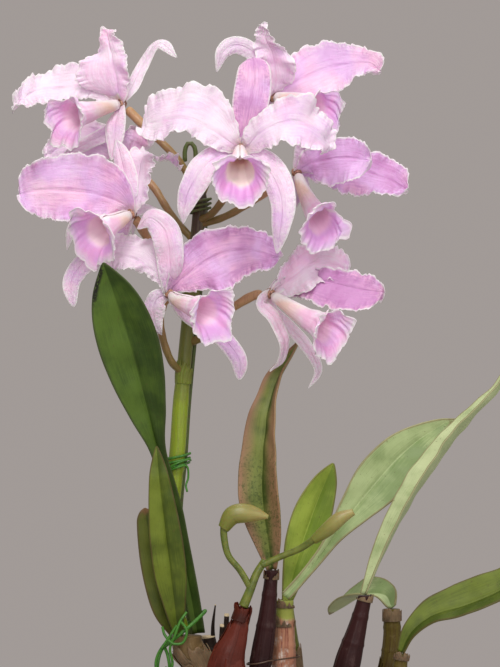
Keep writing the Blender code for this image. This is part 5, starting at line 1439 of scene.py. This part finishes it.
def bulb(name, spec, seed, finishes):
    """A pseudobulb with shallow ribs and old joints, and the dry skins that are left on it."""
    foot = np.array([*spec.foot, RHIZOME_Z + RHIZOME_RADIUS + FOOT_GAP])
    path = smooth_path([foot, foot + (0, 0, BULB_FOOT), *seen_line(spec.line)], BULB_POINTS)
    upright = np.clip((path[:, 2:] - foot[2]) / BULB_FOOT, 0, 1)
    path[:, :2] = foot[:2] + (path[:, :2] - foot[:2]) * upright
    path = np.vstack([path, path[-1] + (0, 0, BULB_CAP)])
    shares = np.linspace(0, 1, len(path))
    low, belly, top = spec.radii
    radii = softened(np.interp(shares, (0, 0.12, 0.5, 0.9, 1), (low, low * 1.12, belly, top * 1.04, top)), 6)
    for joint in BULB_JOINTS:
        radii = radii + BULB_JOINT_SWELLING * bell(shares - joint, 0.012)

    def ribbed(share, angle):
        ribs = 0.03 * np.sin(9 * angle + seed + 2 * share) * np.sin(math.pi * share)
        return 0.985 + ribs + 0.012 * np.sin(23 * angle + 9 * share)

    shapes = [(*tube(path, radii, BULB_SIDES, spec.flatness, shape=ribbed), 0)]
    if name == "bulb_cut_stump":
        for cut, widths in OLD_CUTS:
            radii_there = np.interp(np.linspace(0, 2, 24), range(3), widths)
            shapes.append((*tube(smooth_path(cut, 24), radii_there, 16), 0))
    onward = unit(path[-1] - path[-2])
    path = np.vstack([path, *[path[-1] + onward * step for step in (1.0, 2.0, 3.0, 4.0)]])
    radii = np.append(radii, [top] * 4)
    for number, (start, end, loose, torn, look) in enumerate(spec.skins):
        first, last = int(start * BULB_POINTS), int(end * BULB_POINTS)
        collar = end > 1
        narrowing = 1 if look == 1 or collar else 1 - np.linspace(0, 1, last - first) ** 3
        flat = 1.0 if collar else spec.flatness
        around = radii[first:last] + SKIN_GAP + loose * narrowing
        shapes.append((*sheath(path[first:last], around, seed + number * 3, torn, flat=flat), look))
    piece(name.replace("_", " "), shapes, [finishes[spec.finish], finishes["paper"]], [name])


def rhizome(finishes):
    lines = []
    for places in [RHIZOME, *BRANCHES]:
        path = smooth_path([np.array([x, y, RHIZOME_Z]) for x, y in places], 12 * len(places))
        wide = RHIZOME_RADIUS if places is RHIZOME else BRANCH_RADIUS
        walk = np.linspace(0, len(places) * math.tau, len(path))
        lines.append((path, wide * (0.93 + 0.06 * np.cos(walk) ** 8 + 0.015 * np.sin(walk * 2.7)), 0))
    for number, line in enumerate(ROOTS):
        path = smooth_path(line, 20 * len(line))
        shares = np.linspace(0, 1, len(path))
        radii = np.interp(shares, (0, 0.1, 0.92, 1), (2.4, ROOT_RADIUS, ROOT_RADIUS, 0.9))
        lumps = 1 + 0.06 * np.sin(shares * 50 + number) + 0.04 * np.sin(shares * 21)
        lines.append((path, radii * lumps, 1))
    stems("rhizome and roots", lines, finishes["root"], ["rhizome_and_roots"], 22)


def leaf(key, spec, seed, finishes):
    """A leaf, whose base is just above the top of its bulb."""
    bulb_key, kind, blade = spec
    grid, marks = blade_surface(blade, [], LEAF_GRID, seed)
    points, quads, both = shell(grid, marks, LEAF_THICKNESS, 0.55, 2.0)
    seat = seen(BULBS[bulb_key].line[-1])[2] + BULB_CAP + SEAT_GAP
    columns, below = LEAF_GRID[1], len(points) // 2
    points[:, 2] += seat - min(points[:columns, 2].min(), points[below : below + columns, 2].min())
    slot = "pale_leaf" if kind == "pale" else "leaf"
    piece(f"leaf {key}", [(points, quads, both, 0)], [finishes["leaf_" + kind]], ["leaf_" + key])


def bud_spray(finishes):
    shapes = []

    def add(line, radii, kind, count=40, shape=None):
        path = smooth_path(seen_line(line), count)
        wide = np.interp(np.linspace(0, 1, count), np.linspace(0, 1, len(radii)), radii)
        points, quads, marks = tube(path, wide, 28, shape=shape)
        marks["kind"] = np.full(len(points), float(kind))
        shapes.append((points, quads, marks, 0))

    def seamed(share, angle):
        return 1 - 0.05 * bell(np.sin(1.5 * angle), 0.25) * np.sin(math.pi * share)

    add(BUD_STEM, (3.0, 2.5, 2.2), 0)
    for key, line in BUD_STALKS.items():
        add(line, (2.0, 1.9, 2.2), 0)
        points, radii = BUDS[key]
        add(points, eased(radii, np.linspace(0, 1, 14)), 1, 60, seamed)
    piece("bud spray", shapes, [finishes["bud"]], ["bud_spray"])


def point_at(line, height):
    """Where the smooth curve through a line's points passes a height."""
    path = smooth_path(seen_line(line), 200)
    return path[np.argmin(abs(path[:, 2] - height))]


def wire_round(first, second, wire_radius):
    """The path of a wire round two upright pieces. Each is the middle and the radius of the piece there."""
    clear = wire_radius + 2 * SEAT_GAP
    axis = second[0] - first[0]
    turn = math.atan2(axis[1], axis[0])
    path = []
    for (centre, radius), start in ((first, turn + math.pi), (second, turn)):
        reach = radius + clear
        for angle in np.linspace(start - TIE_WRAP, start + TIE_WRAP, 12):
            across = math.cos(angle)
            path.append(centre + (reach * across, reach * math.sin(angle), TIE_TILT * across))
    return smooth_path([*path, path[0]], TIE_POINTS)


def wire_along(path, radius):
    return path, np.full(len(path), radius), 0


def strands(lines, radius):
    return [wire_along(smooth_path(seen_line(line), 60), radius) for line in lines]


def wires(finishes):
    """The stake, and the wires that hold stem, bulbs and leaf bases."""
    stake = smooth_path(seen_line(STAKE + STAKE_HOOK), 160)
    stems("stake", [wire_along(stake, STAKE_RADIUS)], finishes["stake"], ["stake"], 18)
    for number, (height, finish) in enumerate(zip(TIE_HEIGHTS, ("wire", "stake"))):
        held = point_at(SCAPE, height)
        path = wire_round((held, SHEATH_RADIUS + TIE_SLACK), (point_at(STAKE, height), STAKE_RADIUS),
                          TIE_RADIUS)
        lines = [wire_along(path + point_at(SCAPE, height + rise) - held, TIE_RADIUS) for rise in TIE_TURNS]
        lines += strands(STEM_STRANDS, TIE_RADIUS * 0.8) if number == 0 else []
        stems(f"tie {number + 1}", lines, finishes[finish], [f"tie_{number + 1}"], 12)
    centre, radius, rise = LEAF_TIE
    angles = np.linspace(0, math.tau, 90)
    ring = np.stack([radius * np.cos(angles), radius * np.sin(angles), rise * radius * np.cos(angles)], 1)
    lines = [wire_along(np.array(centre) + ring, LEAF_TIE_RADIUS),
             wire_along(smooth_path(LEAF_TIE_LOOP, 80), LEAF_TIE_RADIUS * 0.9)]
    lines += strands(LEAF_STRANDS, LEAF_TIE_RADIUS * 0.75)
    stems("leaf tie", lines, finishes["wire"], ["tie_3"], 12)
    pair = [(point_at(BULBS[key].line, THIN_TIE_HEIGHT), BULBS[key].radii[1] * 1.05)
            for key in ("dark_middle", "striped")]
    thin = wire_along(wire_round(*pair, THIN_TIE_RADIUS), THIN_TIE_RADIUS)
    stems("thin tie", [thin], finishes["brown wire"], ["tie_4"], 10)


def wall_radius(z):
    """Outer radius of the pot's body at a height."""
    return POT_FOOT_RADIUS + (POT_TOP_RADIUS - RIM_OVERHANG - POT_FOOT_RADIUS) * z / (POT_HEIGHT - RIM_HEIGHT)


def rounded(profile, reach):
    """A profile with its corners turned into short curves."""
    profile = np.array(profile, float)
    made = [profile[0]]
    for before, corner, after in zip(profile, profile[1:], profile[2:]):
        back, on = before - corner, after - corner
        start = corner + back * min(0.45, reach / np.linalg.norm(back))
        end = corner + on * min(0.45, reach / np.linalg.norm(on))
        for t in np.linspace(0, 1, CORNER_STEPS):
            made.append(start * (1 - t) ** 2 + corner * 2 * t * (1 - t) + end * t**2)
    return np.array([*made, profile[-1]])


def turned(profile, sides, wobble=0.0):
    """Points and faces of a shape turned about the upright axis, from its lower pole to its upper one."""
    angles = np.linspace(0, math.tau, sides, endpoint=False)[None, :]
    reach, height = profile[1:-1, :1], profile[1:-1, 1:]
    reach = reach + wobble * np.sin(2 * angles + height / 40) * (reach > 20)
    grid = np.stack([reach * np.cos(angles), reach * np.sin(angles), height + 0 * angles], -1)
    return *capped(grid, [[0, 0, profile[0, 1]], [0, 0, profile[-1, 1]]]), {}


def pot(finishes):
    rim_low = POT_HEIGHT - RIM_HEIGHT
    inner = wall_radius(POT_HEIGHT) - POT_WALL
    profile = [
        (0, 0), (POT_FOOT_RADIUS, 0), (wall_radius(rim_low), rim_low), (POT_TOP_RADIUS, rim_low),
        (POT_TOP_RADIUS + 1, POT_HEIGHT), (inner, POT_HEIGHT), (wall_radius(POT_FLOOR) - POT_WALL, POT_FLOOR),
        (0, POT_FLOOR),
    ]
    shape = turned(rounded(profile, CORNER_REACH), 144, POT_WOBBLE)
    made = piece("pot", [(*shape, 0)], [finishes["clay"]], ["pot"])
    cutters = bpy.data.collections.new("drain holes")
    for turn in range(DRAIN_HOLES):
        angle = math.tau * (turn + 0.5) / DRAIN_HOLES
        centre = np.array([DRAIN_CIRCLE * math.cos(angle), DRAIN_CIRCLE * math.sin(angle), -5.0])
        points, (quads, caps), _ = tube([centre, centre + (0, 0, 24)], [DRAIN_RADIUS] * 2, 32)
        mesh = mesh_of("drain hole", points, quads.tolist() + caps.tolist())
        face_outward(mesh)
        cutters.objects.link(bpy.data.objects.new("drain hole", mesh))
    modifier = made.modifiers.new("drain holes", "BOOLEAN")
    modifier.operation, modifier.solver = "DIFFERENCE", "EXACT"
    modifier.operand_type, modifier.collection = "COLLECTION", cutters
    bpy.context.scene.collection.children.link(cutters)
    graph = bpy.context.evaluated_depsgraph_get()
    mesh = bpy.data.meshes.new_from_object(made.evaluated_get(graph), depsgraph=graph)
    made.modifiers.remove(modifier)
    made.data = mesh
    mesh.set_sharp_from_angle(angle=math.radians(42))
    cleared(cutters)


def cleared(collection):
    """Takes away a collection and its objects, which were only helpers."""
    for helper in list(collection.objects):
        bpy.data.objects.remove(helper)
    bpy.data.collections.remove(collection)


def chip_shapes():
    """A few rough blocks of bark, kept in a collection that the scene doesn't show."""
    chips = bpy.data.collections.new("bark chips")
    chance = np.random.default_rng(31)
    for number in range(CHIP_KINDS):
        block = bmesh.new()
        bmesh.ops.create_cube(block, size=1.0)
        bmesh.ops.subdivide_edges(block, edges=block.edges, cuts=2, use_grid_fill=True)
        long, wide, deep = (chance.uniform(*span) for span in CHIP_SIZES)
        for vertex in block.verts:
            round_off = 1 - 0.22 * (abs(vertex.co.x) > 0.4) * (abs(vertex.co.y) > 0.4)
            place = np.array(vertex.co) * (long * round_off, wide * round_off, deep)
            vertex.co = Vector((place + chance.normal(size=3) * CHIP_ROUGHNESS) * MM)
        mesh = bpy.data.meshes.new(f"bark chip {number}")
        block.to_mesh(mesh)
        block.free()
        chips.objects.link(bpy.data.objects.new(f"bark chip {number}", mesh))
    return chips


def clear_chips(strewn, size):
    """Takes away the chips that would cut into the stake or the wall of the pot. Each has so many points."""
    places = np.empty(len(strewn.data.vertices) * 3, np.float32)
    strewn.data.vertices.foreach_get("co", places)
    places = places.reshape(-1, size, 3) / MM
    stake = point_at(STAKE, BARK_TOP)
    near = np.hypot(places[..., 0] - stake[0], places[..., 1] - stake[1]).min(1) < STAKE_RADIUS + CHIP_REACH
    inner = wall_radius(places[..., 2]) - POT_WALL - SEAT_GAP
    beyond = (np.hypot(places[..., 0], places[..., 1]) > inner).any(1)
    shape = bmesh.new()
    shape.from_mesh(strewn.data)
    shape.verts.ensure_lookup_table()
    gone = [shape.verts[int(point)] for point in np.flatnonzero(np.repeat(near | beyond, size))]
    bmesh.ops.delete(shape, geom=gone, context="VERTS")
    shape.to_mesh(strewn.data)
    shape.free()


def bark(finishes):
    """Potting bark: a bed that fills the pot, with loose chips strewn over it."""
    clear = POT_WALL + 2 * SEAT_GAP
    inside, foot = wall_radius(BARK_TOP) - clear, wall_radius(POT_FLOOR) - clear
    low = POT_FLOOR + SEAT_GAP
    profile = [(0, low), (foot, low), (inside - 0.6, BED_TOP), (0, BED_TOP)]
    points, quads, marks = turned(rounded(profile, CORNER_REACH), 96)
    marks["own_tone"] = np.full(len(points), 0.05)
    piece("bark bed", [(points, quads, marks, 0)], [finishes["bark"]], ["bark"])
    angles = np.linspace(0, math.tau, 48, endpoint=False)
    reach = inside - CHIP_MARGIN
    disc = [(reach * math.cos(angle), reach * math.sin(angle), BED_TOP) for angle in angles]
    source = linked("bark surface", mesh_of("bark surface", disc, [tuple(range(48))]))
    chips = chip_shapes()
    values = {"Chips": chips, "Spacing": 3.4 * MM, "Density": 60000.0, "Smallest": 0.7, "Largest": 1.15,
              "Seed": 4, "Finish": finishes["bark"]}
    strewn = grown(source, TREES["scatter"], values, "bark chips")
    clear_chips(strewn, len(chips.objects[0].data.vertices))
    placed(strewn, [])
    cleared(chips)


def all_finishes():
    made = {
        "petal": petal_finish(), "lip": lip_finish(), "column": column_finish(), "heart": heart_finish(),
        "stem": stem_finish(), "bud": bud_finish(), "root": root_finish(), "clay": clay_finish(),
        "bark": bark_finish(),
        "paper": paper_finish("papery sheath", (0.24, 0.16, 0.085), (0.045, 0.025, 0.012)),
    }
    for key, look in LEAF_FINISHES.items():
        made["leaf_" + key] = leaf_finish(*look)
    for make, looks in ((bulb_finish, BULB_FINISHES), (wire_finish, WIRE_FINISHES)):
        made.update({key: make(*look) for key, look in looks.items()})
    return made


def studio():
    """A plain pale floor, soft light, and the eye."""
    mesh = bpy.data.meshes.new("floor")
    mesh.from_pydata(FLOOR, [], [(0, 1, 2, 3)])
    mesh.materials.append(ground_finish())
    floor = linked("floor", mesh)
    for name, (place, size, power, colour) in LAMPS.items():
        data = bpy.data.lights.new(name, "AREA")
        data.shape, data.size, data.energy, data.color = "DISK", size, power, colour
        lamp = linked(name, data)
        lamp.location = place
        lamp.rotation_euler = (Vector(MIDDLE) - Vector(place)).to_track_quat("-Z", "Y").to_euler()
    world = bpy.data.worlds.new("studio air")
    world.use_nodes = True
    world.node_tree.nodes["Background"].inputs["Color"].default_value = (*AIR, 1)
    bpy.context.scene.world = world
    bpy.context.scene.view_settings.view_transform = "Standard"
    data = bpy.data.cameras.new("eye")
    data.lens, data.sensor_width = LENS_MM, SENSOR_MM
    eye = linked("eye", data)
    eye.location = Vector(EYE) * MM
    eye.rotation_euler = (math.pi / 2, 0, 0)
    bpy.context.scene.camera = eye


TREES = {}


def main():
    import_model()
    finishes = all_finishes()
    TREES.update(path=path_tree(), scatter=scatter_tree())
    for number, (key, bloom) in enumerate(BLOOMS.items()):
        flower(key, bloom, 100 + 60 * number, finishes)
    for number, (key, spec) in enumerate(LEAVES.items()):
        leaf(key, spec, 700 + number, finishes)
    for number, (key, spec) in enumerate(BULBS.items()):
        bulb("bulb_" + key, spec, 800 + 20 * number, finishes)
    flower_stem(finishes)
    bud_spray(finishes)
    rhizome(finishes)
    wires(finishes)
    pot(finishes)
    bark(finishes)
    studio()
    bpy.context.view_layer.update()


main()
